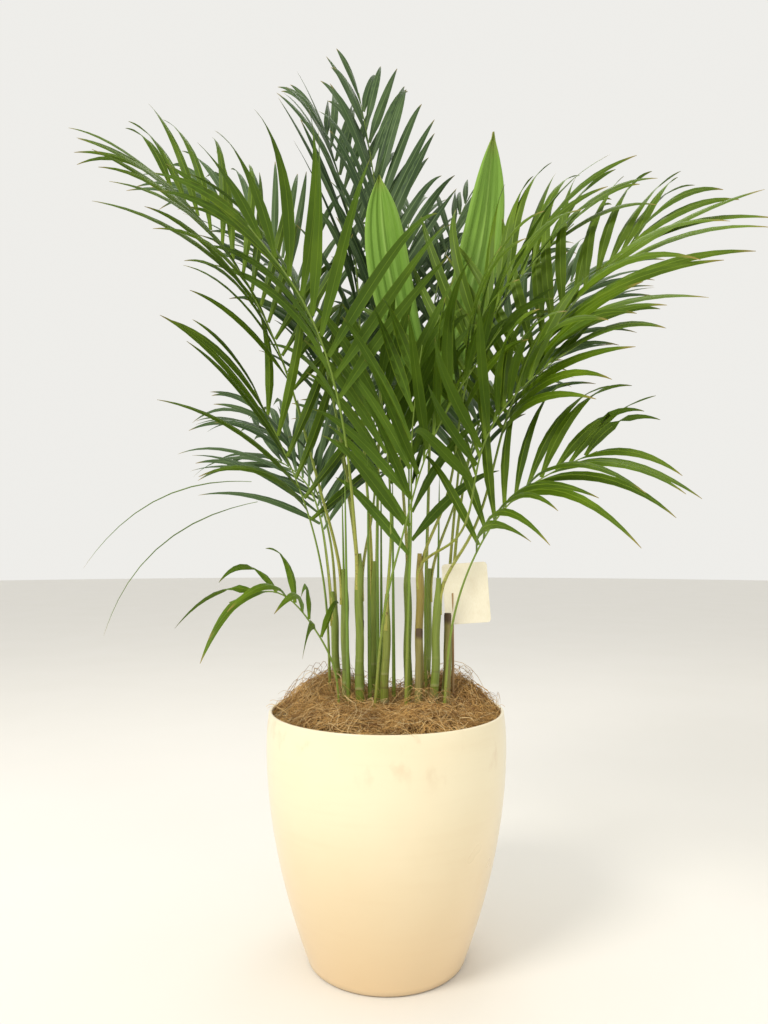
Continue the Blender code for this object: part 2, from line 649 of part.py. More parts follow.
def make_frond(midrib, collection, material):
    """One closed mesh: the three-cornered midrib, each leaflet growing out of one of its steps."""
    shape = bmesh.new()
    rings = [[shape.verts.new(corner) for corner in ring] for ring in midrib.rings()]
    tip = shape.verts.new(midrib.tip())
    shape.faces.new(rings[0])
    leaf_at = {leaflet.step: leaflet for leaflet in midrib.leaflets}
    for step in range(len(rings) - 1):
        low, high = rings[step], rings[step + 1]
        shape.faces.new((low[0], low[1], high[1]))
        shape.faces.new((low[0], high[1], high[0]))
        for corner, side in ((0, 1), (1, -1)):
            leaflet = leaf_at.get(step)
            if leaflet is None or leaflet.side != side:
                shape.faces.new((low[corner], high[corner], low[2]))
            else:
                grow_leaflet(shape, leaflet, (low[corner], high[corner], low[2]))
            shape.faces.new((low[2], high[corner], high[2]))
    shape.faces.new((rings[-1][0], rings[-1][1], tip))
    shape.faces.new((rings[-1][1], rings[-1][2], tip))
    shape.faces.new((rings[-1][2], rings[-1][0], tip))
    name = midrib.frond.name
    return add_object(name, mesh_from_bmesh(name, shape), collection, material)


def grow_leaflet(shape, leaflet, base):
    middle = [shape.verts.new(corner) for corner in leaflet.section(leaflet.turn, leaflet.shrink, MIDDLE_SHARE)]
    tip = shape.verts.new(leaflet.tip(leaflet.turn, leaflet.shrink))
    for a, b in ((0, 1), (1, 2), (2, 0)):
        shape.faces.new((base[a], base[b], middle[b]))
        shape.faces.new((base[a], middle[b], middle[a]))
        shape.faces.new((middle[a], middle[b], tip))


# ---------------------------------------------------------------- card and stake

def make_card(collection, material):
    shape = bmesh.new()
    bmesh.ops.create_cube(shape, size=1.0)
    bmesh.ops.scale(shape, vec=(CARD_WIDTH, CARD_THICKNESS, CARD_HEIGHT), verts=shape.verts)
    obj = add_object("tag_card", mesh_from_bmesh("tag_card", shape), collection, material)
    obj.location = (CARD_CENTRE[0], CARD_CENTRE[1], POT_HEIGHT + CARD_CENTRE[2])
    obj.rotation_euler = (0.0, -CARD_TILT, 0.0)
    return obj


def stake_ends():
    """The stake stands just behind the card, from its socket to the card's middle."""
    behind = CARD_THICKNESS / 2 + STAKE_RADIUS + FIT_GAP
    top = np.array((CARD_CENTRE[0] - 0.3 * CARD_WIDTH, CARD_CENTRE[1] + behind, POT_HEIGHT + CARD_CENTRE[2]))
    surface = np.array((STAKE_FOOT_X, top[1], soil_top()))
    return surface - unit(top - surface) * SOCKET_DEPTH, top


def tree_of(obj):
    return BVHTree.FromObject(obj, bpy.context.evaluated_depsgraph_get())


def main():
    clear_scene()
    parts = make_collection("potted_palm")
    cutters = make_collection("cutters", hidden=True)
    cream = make_material("pot_cream", (0.83, 0.74, 0.58), 0.30)
    earth = make_material("soil_brown", (0.055, 0.035, 0.022), 0.95)
    coir = make_material("coir_brown", (0.42, 0.24, 0.09), 0.90)
    cane_green = make_material("cane_yellow_green", (0.38, 0.40, 0.08), 0.45)
    cut_brown = make_material("cut_stub_brown", (0.26, 0.17, 0.06), 0.70)
    leaf_green = make_material("leaf_green", (0.09, 0.24, 0.03), 0.40)
    young_green = make_material("young_leaf_green", (0.24, 0.46, 0.10), 0.40)
    paper = make_material("card_cream", (0.86, 0.80, 0.64), 0.80)
    stake_brown = make_material("stake_brown", (0.30, 0.19, 0.08), 0.70)

    pot = make_pot(parts, cutters, cream)
    soil = make_soil(parts, earth)
    mulch = make_mulch(parts, coir)
    stems = []
    kinds = ((CANES, CANE_RADIUS, cane_green, STEM_NARROWING), (STUBS, STUB_RADIUS, cut_brown, STEM_NARROWING),
             (SPEARS, SPEAR_RADIUS, cane_green, SPEAR_NARROWING))
    for group, radius, material, narrowing in kinds:
        for name, place in group.items():
            foot, top = stem_line(*place)
            middle = foot + (top - foot) * 0.5
            stems.append(make_tube(name, (foot, middle, top), radius, parts, material, narrowing))
            cut_socket(name, foot, unit(top - foot), radius, soil, mulch, cutters)
    stake_foot, stake_top = stake_ends()
    stems.append(make_tube("tag_stake", (stake_foot, stake_top), STAKE_RADIUS, parts, stake_brown))
    cut_socket("tag_stake", stake_foot, unit(stake_top - stake_foot), STAKE_RADIUS, soil, mulch, cutters)
    stems.append(make_card(parts, paper))
    bpy.context.view_layer.update()

    stem_trees = [tree_of(stem) for stem in stems]
    midribs = place_midribs(stem_trees)
    for midrib in midribs:
        if not isinstance(midrib.frond.root, str):
            foot, above = midrib.points[0], midrib.points[2]
            cut_socket(midrib.frond.name, foot, unit(above - foot), PETIOLE_HOLE_RADIUS, soil, mulch, cutters)
    bpy.context.view_layer.update()
    place_leaflets(midribs, stem_trees + [tree_of(pot), tree_of(mulch)])
    for midrib in midribs:
        make_frond(midrib, parts, young_green if midrib.frond.name == "young_leaf" else leaf_green)


main()
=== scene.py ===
"""Potted palm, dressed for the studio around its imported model.

Every frond, cane, stub and rolled-up leaf is drawn again on the same centre lines as its solid:
leaflets become folded, tapering blades, canes get their rings and sheaths, the fibre mat becomes
thousands of curled strands, and the pot a smooth turned shell with a glaze. Metres, +Z up.
"""
import cmath
import math
from dataclasses import dataclass

import bpy
import numpy as np
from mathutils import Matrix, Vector


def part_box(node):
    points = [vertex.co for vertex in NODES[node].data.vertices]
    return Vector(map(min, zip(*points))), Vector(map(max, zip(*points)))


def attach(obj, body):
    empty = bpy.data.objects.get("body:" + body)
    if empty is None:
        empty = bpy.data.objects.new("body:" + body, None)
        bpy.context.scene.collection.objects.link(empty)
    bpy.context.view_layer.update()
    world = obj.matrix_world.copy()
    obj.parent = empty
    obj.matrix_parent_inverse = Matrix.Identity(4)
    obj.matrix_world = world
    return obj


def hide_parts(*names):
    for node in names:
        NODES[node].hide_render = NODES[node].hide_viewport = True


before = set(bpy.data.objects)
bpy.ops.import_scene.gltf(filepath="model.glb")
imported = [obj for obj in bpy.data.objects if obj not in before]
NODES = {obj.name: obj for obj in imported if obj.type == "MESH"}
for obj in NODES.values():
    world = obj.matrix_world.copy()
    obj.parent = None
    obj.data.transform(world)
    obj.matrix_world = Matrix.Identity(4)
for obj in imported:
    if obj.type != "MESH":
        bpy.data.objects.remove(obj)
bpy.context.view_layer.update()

BODY = "root"

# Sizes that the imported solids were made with
POT_HEIGHT = 0.300
POT_BASE_RADIUS = 0.096
POT_BELLY_RADIUS = 0.1495
POT_RIM_RADIUS = 0.1470
POT_BELLY_BELOW_RIM = 0.038
POT_TAPER_POWER = 1.9
POT_WALL = 0.0040
POT_FLOOR = 0.0060
POT_FOOT_ROUND = 0.0050
DRAIN_RADIUS = 0.0060
DRAIN_RING_RADIUS = 0.050
DRAIN_COUNT = 3
SOIL_TOP = POT_HEIGHT - 0.045
MULCH_EDGE = POT_HEIGHT - 0.012
MULCH_MOUND = 0.022
MULCH_EDGE_GAP = 0.0030
SOCKET_DEPTH = 0.050
CANE_RADIUS = 0.0058
STUB_RADIUS = 0.0046
SPEAR_RADIUS = 0.0032
SPEAR_NARROWING = 0.25
PETIOLE_RADIUS = 0.0025
PETIOLE_SPACING = 1.44 * PETIOLE_RADIUS
PETIOLE_START_GAP = 0.0012
PETIOLE_STRAIGHT = 0.025
MIDRIB_TIP_RADIUS = 0.0009
UP = np.array((0.0, 0.0, 1.0))
RIGHT = (1.0, 0.0, 0.0)

# How the solids' fronds were laid out: the leaflets' stream of draws, and the turns (spread and
# lift, in degrees), shortenings and midrib steps that were tried until a leaflet was clear
STREAM = 41
TIP_MATCH = 0.0003
TURNS = [(0, 0), *((0, lift) for lift in (9, -9, 18, -18)),
         *((spread, lift) for spread in (-8, 8) for lift in (0, 10, -10, 20, -20)),
         (0, 28), (0, -28), (-14, 0), (14, 0)]
SHRINKS = (1.0, 0.85, 0.7, 0.55, 0.4)
NUDGE_STEP = 0.004
NUDGES = [0.0, *(side * step * NUDGE_STEP for step in range(1, 9) for side in (1, -1))]
NUDGE_SHARES = (0.4, 1.0)
LONGEST_SHARE = 0.35
BARE_STEPS = 16
LEAST_BARE_STEPS = 5
MIDRIB_NARROWING = 0.8
SPLINE_STEPS = 400

# Blades, petioles and the young leaf's lobes
SHAPES = 700
BLADE_SHARES = np.array((0.0, 0.05, 0.12, 0.21, 0.31, 0.42, 0.53, 0.64, 0.74, 0.83, 0.90, 0.96, 1.0))
BLADE_SLIMNESS = 0.92
BLADE_THICKNESS = 0.0006
BLADE_TIP = 0.00025
PETIOLE_STATIONS = 44
PETIOLE_CORNERS = 8
LOBE_STATIONS = 34
LOBE_ACROSS = 17
LOBE_PLEATS = 5
LOBE_WIDTH = 0.056
LOBE_OVERLAP = 0.02
LOBE_THICKNESS = 0.0005
# 0 is an old, dark frond and 1 a fresh one; a frond not named here draws its age
FROND_AGES = {
    "frond_front_left": 0.15, "frond_left_sweep": 0.45, "frond_right_sweep": 0.80, "frond_right_low": 0.40,
    "frond_left_low": 0.30, "frond_left_small": 0.85, "frond_middle_cross": 0.35, "frond_middle_front": 0.15,
    "frond_centre_low": 0.50, "frond_right_mid": 0.60, "frond_right_front": 0.45, "frond_back_high": 0.20,
}
# Hanging threads: where each starts, the point that it arches towards, and where it ends
THREADS = [
    ((-0.168, -0.030, 0.585), (-0.290, -0.060, 0.590), (-0.352, -0.090, 0.478)),
    ((-0.160, -0.030, 0.560), (-0.300, -0.055, 0.530), (-0.330, -0.080, 0.400)),
]
THREAD_HALF_WIDTH = 0.0032

# Canes, stubs and spears
STEM_CREASE = 50
RING_SPACING = 0.034
SHEATH_LENGTH = 0.046
CANE_STATIONS = 110
CANE_CORNERS = 20
STUB_CORNERS = 18
STUB_RIBS = 5
SPEAR_STATIONS = 60
SPEAR_CORNERS = 14
# 0 is a green cane and 1 a ripe yellow one
CANE_TONES = {
    "cane_left_outer": 0.30, "cane_left_side": 0.12, "cane_left_front": 0.42, "cane_left_inner": 0.22,
    "cane_left_near_middle": 0.55, "cane_left_back": 0.18, "cane_right_inner": 0.26,
    "cane_right_middle": 0.80, "cane_right_front": 0.38, "cane_right_outer": 0.48, "cane_right_back": 0.20,
}

# Pot, mat and loose fibre
POT_SIDES = 160
MAT_SIDES = 120
MAT_EDGE_DIP = 0.006
MAT_LIFT = 0.0008
FIBRE_STATIONS = 9
# Heaps in the fibre: x, y, reach and height
CLUMPS = [(0.045, -0.078, 0.048, 0.011), (-0.062, -0.072, 0.050, 0.010),
          (0.092, 0.020, 0.040, 0.020), (-0.084, 0.030, 0.042, 0.018)]
# Tufts of it: number of strands, x and y, reach, strand length and lift
TUFTS = [(700, (0.080, 0.062), 0.050, 0.055, 0.016), (700, (-0.070, 0.040), 0.052, 0.055, 0.014),
         (500, (-0.020, -0.050), 0.070, 0.050, 0.009), (500, (0.055, -0.050), 0.060, 0.050, 0.009)]
STRAYS = 46

# Card, floor and camera
CARD_TILT = math.radians(4)
CARD_CORNER = 0.004
CARD_SHEET = 0.0007
FLOOR_SIDES = 96
FLOOR_DROP = 0.0002
CAMERA_PLACE = (-0.003, -0.973, 0.498)
CAMERA_TILT = math.radians(93)
CAMERA_LENS = 26.72

# name: foot x, y at the soil, top x, y and height above the rim
CANES = {
    "cane_left_outer": (-0.060, 0.026, -0.068, 0.032, 0.100),
    "cane_left_side": (-0.049, -0.006, -0.053, -0.006, 0.130),
    "cane_left_front": (-0.032, -0.024, -0.034, -0.028, 0.150),
    "cane_left_inner": (-0.018, 0.010, -0.016, 0.013, 0.140),
    "cane_left_near_middle": (-0.004, -0.022, 0.000, -0.026, 0.100),
    "cane_left_back": (-0.034, 0.044, -0.036, 0.054, 0.130),
    "cane_right_inner": (0.028, 0.022, 0.028, 0.026, 0.140),
    "cane_right_middle": (0.040, -0.010, 0.042, -0.014, 0.150),
    "cane_right_front": (0.056, -0.028, 0.062, -0.036, 0.120),
    "cane_right_outer": (0.072, 0.000, 0.080, 0.002, 0.110),
    "cane_right_back": (0.052, 0.036, 0.056, 0.046, 0.130),
}

# name: foot x, y, top x, y and height above the rim
STUBS = {
    "cut_stub_left": (-0.034, 0.001, -0.033, 0.002, 0.112),
    "cut_stub_middle": (0.038, -0.034, 0.040, -0.037, 0.104),
    "cut_stub_right": (0.073, -0.022, 0.076, -0.024, 0.122),
}

# Rolled-up new leaves, the same five numbers
SPEARS = {
    "cane_spear_left": (-0.046, -0.022, -0.052, -0.030, 0.300),
    "cane_spear_middle": (-0.010, -0.008, -0.012, -0.012, 0.340),
    "cane_spear_right": (0.028, -0.004, 0.029, -0.006, 0.360),
    "cane_spear_left_back": (-0.050, 0.016, -0.058, 0.018, 0.280),
    "cane_spear_left_near": (-0.020, -0.014, -0.024, -0.018, 0.320),
    "cane_spear_left_inner": (-0.006, 0.024, -0.007, 0.026, 0.300),
    "cane_spear_middle_back": (0.010, 0.008, 0.008, 0.010, 0.300),
    "cane_spear_right_back": (0.064, 0.020, 0.070, 0.024, 0.300),
}


@dataclass
class Frond:
    """One frond: where it is rooted, the points its midrib passes, and how its leaflets grow.

    root is a cane's name, or the x, y of a petiole that rises from the soil. guides are given
    in metres, the height above the rim. bare is the share of the midrib's length
    with no leaflets. spread and spread_tip are the angles between leaflet and midrib at the
    first and last pair, lift raises the leaflets out of the frond's plane, roll turns the
    frond about its midrib, droop is how far a tip hangs as a share of its length. apart is not
    used here; it is the share of its length past which a leaflet's solid is clear of the others
    on its midrib.
    """

    name: str
    root: object
    guides: list
    pairs: int
    length: float
    width: float
    bare: float = 0.42
    spread: float = 52
    spread_tip: float = 16
    lift: float = 28
    droop: float = 0.14
    roll: float = 0
    apart: float = 0.12


FRONDS = [
    Frond("young_leaf", (0.052, 0.012),
          [(0.050, 0.010, 0.12), (0.053, 0.004, 0.26), (0.056, 0.000, 0.40)],
          1, 0.385, 0.048, bare=0.97, spread=9, spread_tip=9, lift=0, droop=0.0, apart=0.40),
    Frond("frond_front_left", "cane_left_front",
          [(-0.04, -0.04, 0.24), (-0.06, -0.08, 0.39), (-0.10, -0.13, 0.49), (-0.15, -0.17, 0.55)],
          9, 0.26, 0.016, bare=0.48, spread=48, lift=26, droop=0.20),
    Frond("frond_left_sweep", "cane_left_side",
          [(-0.08, 0.00, 0.26), (-0.14, -0.01, 0.46), (-0.22, -0.03, 0.60), (-0.29, -0.05, 0.67)],
          14, 0.24, 0.012, bare=0.46, droop=0.20, roll=-50),
    Frond("frond_right_sweep", "cane_right_front",
          [(0.10, -0.03, 0.21), (0.15, -0.05, 0.37), (0.22, -0.08, 0.49), (0.30, -0.11, 0.57)],
          15, 0.25, 0.015, bare=0.44, spread=58, spread_tip=22, lift=20, droop=0.20, roll=50),
    Frond("frond_right_low", (0.064, -0.046),
          [(0.080, -0.045, 0.11), (0.110, -0.055, 0.20), (0.150, -0.08, 0.26), (0.235, -0.13, 0.31)],
          10, 0.22, 0.014, bare=0.60, spread_tip=22, droop=0.30, roll=50),
    Frond("frond_left_low", (-0.068, 0.008),
          [(-0.08, 0.00, 0.16), (-0.115, -0.01, 0.29), (-0.165, -0.035, 0.40)],
          6, 0.27, 0.014, bare=0.64, spread=60, spread_tip=20, droop=0.10, roll=-60),
    Frond("frond_left_small", (-0.052, -0.034),
          [(-0.062, -0.038, 0.05), (-0.09, -0.05, 0.11), (-0.13, -0.07, 0.15), (-0.18, -0.10, 0.14)],
          5, 0.115, 0.013, bare=0.56, droop=0.50, roll=-35),
    Frond("frond_right_front", "cane_right_middle",
          [(0.08, -0.05, 0.21), (0.11, -0.08, 0.31), (0.16, -0.12, 0.39), (0.22, -0.16, 0.43)],
          10, 0.21, 0.016, bare=0.42, droop=0.24, roll=25),
    Frond("frond_left_mid_back", "cane_left_outer",
          [(-0.08, 0.05, 0.19), (-0.11, 0.10, 0.29), (-0.17, 0.16, 0.34)],
          9, 0.21, 0.013, droop=0.20, roll=-40),
    Frond("frond_left_back", "cane_left_back",
          [(-0.06, 0.06, 0.34), (-0.12, 0.09, 0.56), (-0.20, 0.11, 0.68), (-0.29, 0.12, 0.74)],
          16, 0.20, 0.012, bare=0.46, droop=0.22, roll=-45),
    Frond("frond_back_left_high", "cane_left_inner",
          [(-0.03, 0.05, 0.34), (-0.05, 0.09, 0.66), (-0.10, 0.15, 0.855)],
          14, 0.22, 0.015, bare=0.46, spread=36),
    Frond("frond_back_high", "cane_left_inner",
          [(-0.01, 0.05, 0.34), (-0.01, 0.09, 0.66), (-0.04, 0.14, 0.87)],
          14, 0.21, 0.016, bare=0.46, spread=32),
    Frond("frond_centre_back", "cane_right_inner",
          [(0.02, 0.08, 0.34), (0.03, 0.17, 0.62), (0.04, 0.27, 0.78)],
          14, 0.16, 0.015, spread=60),
    Frond("frond_right_back", "cane_right_back",
          [(0.06, 0.07, 0.34), (0.08, 0.12, 0.61), (0.13, 0.18, 0.75)],
          14, 0.18, 0.011, spread=38, droop=0.22),
    Frond("frond_middle_cross", (-0.020, -0.042),
          [(0.00, -0.05, 0.14), (0.02, -0.06, 0.22), (0.05, -0.08, 0.32), (0.13, -0.13, 0.45)],
          8, 0.21, 0.016, bare=0.55, spread=48, lift=20, droop=0.20),
    Frond("frond_right_mid", "cane_right_middle",
          [(0.07, -0.02, 0.25), (0.10, -0.04, 0.41), (0.16, -0.05, 0.53), (0.23, -0.06, 0.60)],
          12, 0.24, 0.015, spread=48, droop=0.18, roll=40),
    Frond("frond_right_behind", "cane_right_outer",
          [(0.10, 0.03, 0.27), (0.16, 0.07, 0.45), (0.28, 0.11, 0.60)],
          13, 0.23, 0.013, droop=0.20, roll=40),
    Frond("frond_middle_front", (0.022, -0.038),
          [(0.027, -0.045, 0.14), (0.03, -0.055, 0.24), (0.03, -0.08, 0.33), (0.04, -0.13, 0.43)],
          7, 0.20, 0.016, bare=0.52, spread=42, droop=0.18),
    Frond("frond_back_right_low", "cane_right_back",
          [(0.09, 0.08, 0.25), (0.15, 0.17, 0.40), (0.22, 0.25, 0.47)],
          13, 0.20, 0.015, droop=0.22),
    Frond("frond_back_middle_low", "cane_left_back",
          [(-0.02, 0.11, 0.25), (-0.02, 0.20, 0.42), (-0.03, 0.29, 0.50)],
          13, 0.20, 0.015, droop=0.22),
    Frond("frond_back_left_low", "cane_left_outer",
          [(-0.08, 0.10, 0.22), (-0.15, 0.18, 0.36), (-0.22, 0.24, 0.40)],
          13, 0.20, 0.014, droop=0.24),
    Frond("frond_back_left_mid", "cane_left_back",
          [(-0.06, 0.09, 0.32), (-0.12, 0.17, 0.55), (-0.20, 0.23, 0.65)],
          14, 0.21, 0.015, droop=0.20),
    # Every piece, and the studio.
    Frond("frond_back_right_mid", "cane_right_outer",
          [(0.10, 0.06, 0.32), (0.15, 0.14, 0.54), (0.22, 0.20, 0.65)],
          14, 0.21, 0.015, droop=0.20),
    Frond("frond_centre_low", "cane_left_near_middle",
          [(0.005, -0.03, 0.20), (0.00, -0.05, 0.33), (-0.01, -0.08, 0.42)],
          6, 0.21, 0.017, bare=0.50, spread=40),
]

# ---------------------------------------------------------------- the layout, as the solids have it

def unit(vector):
    """The vector, or each row of an array of vectors, at length one."""
    return vector / np.linalg.norm(vector, axis=-1, keepdims=True)


def corners_of(node_name):
    """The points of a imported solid."""
    mesh = NODES[node_name].data
    points = np.empty(3 * len(mesh.vertices), np.float32)
    mesh.vertices.foreach_get("co", points)
    return points.reshape(-1, 3).astype(float)


def stem_line(foot_x, foot_y, top_x, top_y, top_above_rim):
    """Foot in the soil's socket, and top, of a straight stem."""
    top = np.array((top_x, top_y, POT_HEIGHT + top_above_rim))
    surface = np.array((foot_x, foot_y, SOIL_TOP))
    return surface - unit(top - surface) * SOCKET_DEPTH, top


def spline_through(points, samples):
    """A natural cubic through the points, by chord length, read at even steps of its length."""
    knots = np.array(points, float)
    chords = np.concatenate([[0], np.cumsum(np.linalg.norm(np.diff(knots, axis=0), axis=1))])
    count = len(knots)
    gaps = np.diff(chords)
    matrix = np.eye(count)
    wanted = np.zeros((count, 3))
    for i in range(1, count - 1):
        matrix[i, i - 1:i + 2] = gaps[i - 1], 2 * (gaps[i - 1] + gaps[i]), gaps[i]
        wanted[i] = 6 * ((knots[i + 1] - knots[i]) / gaps[i] - (knots[i] - knots[i - 1]) / gaps[i - 1])
    bend = np.linalg.solve(matrix, wanted)
    fine = np.linspace(0, chords[-1], SPLINE_STEPS)
    k = np.clip(np.searchsorted(chords, fine) - 1, 0, count - 2)
    gap = gaps[k][:, None]
    before = (chords[k + 1] - fine)[:, None] / gap
    after = 1 - before
    curve = before * knots[k] + after * knots[k + 1]
    curve += ((before ** 3 - before) * bend[k] + (after ** 3 - after) * bend[k + 1]) * gap ** 2 / 6
    run = np.concatenate([[0], np.cumsum(np.linalg.norm(np.diff(curve, axis=0), axis=1))])
    even = np.array(samples) * run[-1]
    return np.stack([np.interp(even, run, curve[:, axis]) for axis in range(3)], axis=1)


def frond_foot(frond):
    """The straight start of a petiole: on its cane's top, or up through its own socket in the soil."""
    if isinstance(frond.root, str):
        foot, top = stem_line(*CANES[frond.root])
        sharing = [other for other in FRONDS if other.root == frond.root]
        ways = [complex(*other.guides[-1][:2]) - complex(top[0], top[1]) for other in sharing]
        middle = sum(way / abs(way) for way in ways)
        order = sorted(range(len(sharing)), key=lambda i: cmath.phase(ways[i] / middle))
        place = order.index(sharing.index(frond)) - (len(sharing) - 1) / 2
        angle = cmath.phase(middle) + math.tau * place / len(sharing)
        outward = np.array((math.cos(angle), math.sin(angle), 0.0))
        start = top + outward * PETIOLE_SPACING + UP * PETIOLE_START_GAP
        return [start, start + unit(top - foot) * PETIOLE_STRAIGHT]
    foot, top = stem_line(*frond.root, *frond.guides[0])
    straight = unit(top - foot)
    return [foot + straight * run for run in (0.0, 0.5 * SOCKET_DEPTH, SOCKET_DEPTH, 2 * SOCKET_DEPTH)]


class Midrib:
    """A frond's petiole and midrib: its curve, and three axes at each of the stations asked for."""

    def __init__(self, frond, nudge):
        feet = frond_foot(frond)
        guides = [np.array((x, y, POT_HEIGHT + z)) for x, y, z in frond.guides]
        weights = np.linspace(*NUDGE_SHARES, len(guides))
        guides = [guide + np.array((0.0, nudge * weight, 0.0)) for guide, weight in zip(guides, weights)]
        self.frond = frond
        self.knots = feet + guides
        away = (self.knots[-1] - feet[0]) * np.array((1.0, 1.0, 0.0))
        self.heading = unit(away + np.array((0.0, 1e-6, 0.0)))
        self.first_leaf_step = max(LEAST_BARE_STEPS, int(BARE_STEPS * frond.bare))
        self.stations = np.concatenate([
            np.linspace(0, frond.bare, self.first_leaf_step, endpoint=False),
            np.linspace(frond.bare, 1, 2 * frond.pairs + 2),
        ])

    def axes(self, stations):
        """Points, tangents, upper and right directions. The upper side faces up and back, then rolls."""
        points = spline_through(self.knots, stations)
        tangents = unit(np.gradient(points, axis=0))
        upper = (tangents @ self.heading)[:, None] * UP - tangents[:, 2:] * self.heading
        upper = unit(upper - (upper * tangents).sum(axis=1)[:, None] * tangents)
        right = np.cross(tangents, upper)
        roll = math.radians(self.frond.roll)
        upper = upper * math.cos(roll) + right * math.sin(roll)
        return points, tangents, upper, np.cross(tangents, upper)

    def radii(self, steps):
        """Radius = petiole radius + (tip radius - petiole radius) * share ^ narrowing."""
        share = np.linspace(0, 1, steps) ** MIDRIB_NARROWING
        return PETIOLE_RADIUS + (MIDRIB_TIP_RADIUS - PETIOLE_RADIUS) * share


def placed_midrib(frond):
    """The midrib whose tip is where its solid has it: some were moved to or fro to clear others."""
    solid = corners_of(frond.name)
    best = None
    for nudge in NUDGES:
        midrib = Midrib(frond, nudge)
        points, tangents, *_ = midrib.axes(midrib.stations)
        tip = points[-1] + tangents[-1] * 3 * MIDRIB_TIP_RADIUS
        miss = np.linalg.norm(solid - tip, axis=1).min()
        if best is None or miss < best[0]:
            best = (miss, midrib)
    if best[0] > TIP_MATCH:
        raise ValueError(f"{frond.name}: the midrib is not where its solid has it")
    best[1].solid = solid
    return best[1]


class Leaflets:
    """All the leaflets of one frond, as arrays with one row for each leaflet.

    A leaflet heads out from the midrib at its spread angle, lifted out of the frond's plane, and
    its centre line is root + heading * length * share - up * droop * length * share^2. Along
    the frond the lengths follow 1 - 1.1 * ((share - longest share) / 0.9)^2. The draws change a
    leaflet's spread by up to 5 degrees, lift by 7, length by 8% and droop by 35%.
    """

    def __init__(self, number, midrib):
        frond = midrib.frond
        steps = np.arange(2 * frond.pairs)
        side = np.where(steps % 2 == 0, 1.0, -1.0)
        draw = np.random.default_rng(STREAM + number).uniform(-1, 1, (len(steps), 4))
        share = steps / len(steps)
        points, tangents, upper, right = midrib.axes(midrib.stations)
        radius = midrib.radii(len(midrib.stations))[:, None]
        at = midrib.first_leaf_step + steps
        edges = np.stack([points + radius * (0.5 * upper + way * right) for way in (1.0, -1.0)], axis=1)
        which = np.where(side > 0, 0, 1)
        profile = 1 - 1.1 * ((share - LONGEST_SHARE) / 0.9) ** 2
        spread = np.radians(frond.spread + (frond.spread_tip - frond.spread) * share + 5 * draw[:, 0])
        lift = np.radians(frond.lift * (1 - 0.4 * share) + 7 * draw[:, 1])
        self.root = (edges[at, which] + edges[at + 1, which]) / 2
        self.along = tangents[at]
        self.out = right[at] * side[:, None]
        self.upper = upper[at]
        self.side = side
        self.length = frond.length * profile * (1 + 0.08 * draw[:, 2])
        self.width = frond.width * (0.7 + 0.3 * profile)
        self.droop = frond.droop * (1 + 0.35 * draw[:, 3])
        self.find_placed(spread, lift, midrib.solid)

    def find_placed(self, spread, lift, solid):
        """Each leaflet takes the first turn and shortening whose tip is a corner of the solid.

        A leaflet with none was left out of the solid, and is left out here.
        """
        tries = np.array([(*np.radians(turn), shrink) for shrink in SHRINKS for turn in TURNS])
        heading = self.headings(spread[:, None] + tries[:, 0], lift[:, None] + tries[:, 1])
        length = (self.length[:, None] * tries[:, 2])[..., None]
        tips = self.root[:, None] + heading * length - UP * self.droop[:, None, None] * length
        miss = np.stack([np.linalg.norm(row[:, None] - solid[None], axis=2).min(axis=1) for row in tips])
        found = miss < TIP_MATCH
        kept = found.any(axis=1)
        first = found.argmax(axis=1)
        rows = np.arange(len(first))
        self.heading = heading[rows, first]
        self.length = length[rows, first, 0]
        for name, values in list(vars(self).items()):
            setattr(self, name, values[kept])

    def headings(self, spread, lift):
        """Directions at these angles: spread turns from the midrib to the side, lift to the upper side."""
        sideways = np.cos(lift)[..., None] * self.out[:, None] + np.sin(lift)[..., None] * self.upper[:, None]
        return np.cos(spread)[..., None] * self.along[:, None] + np.sin(spread)[..., None] * sideways


# ---------------------------------------------------------------- surfaces

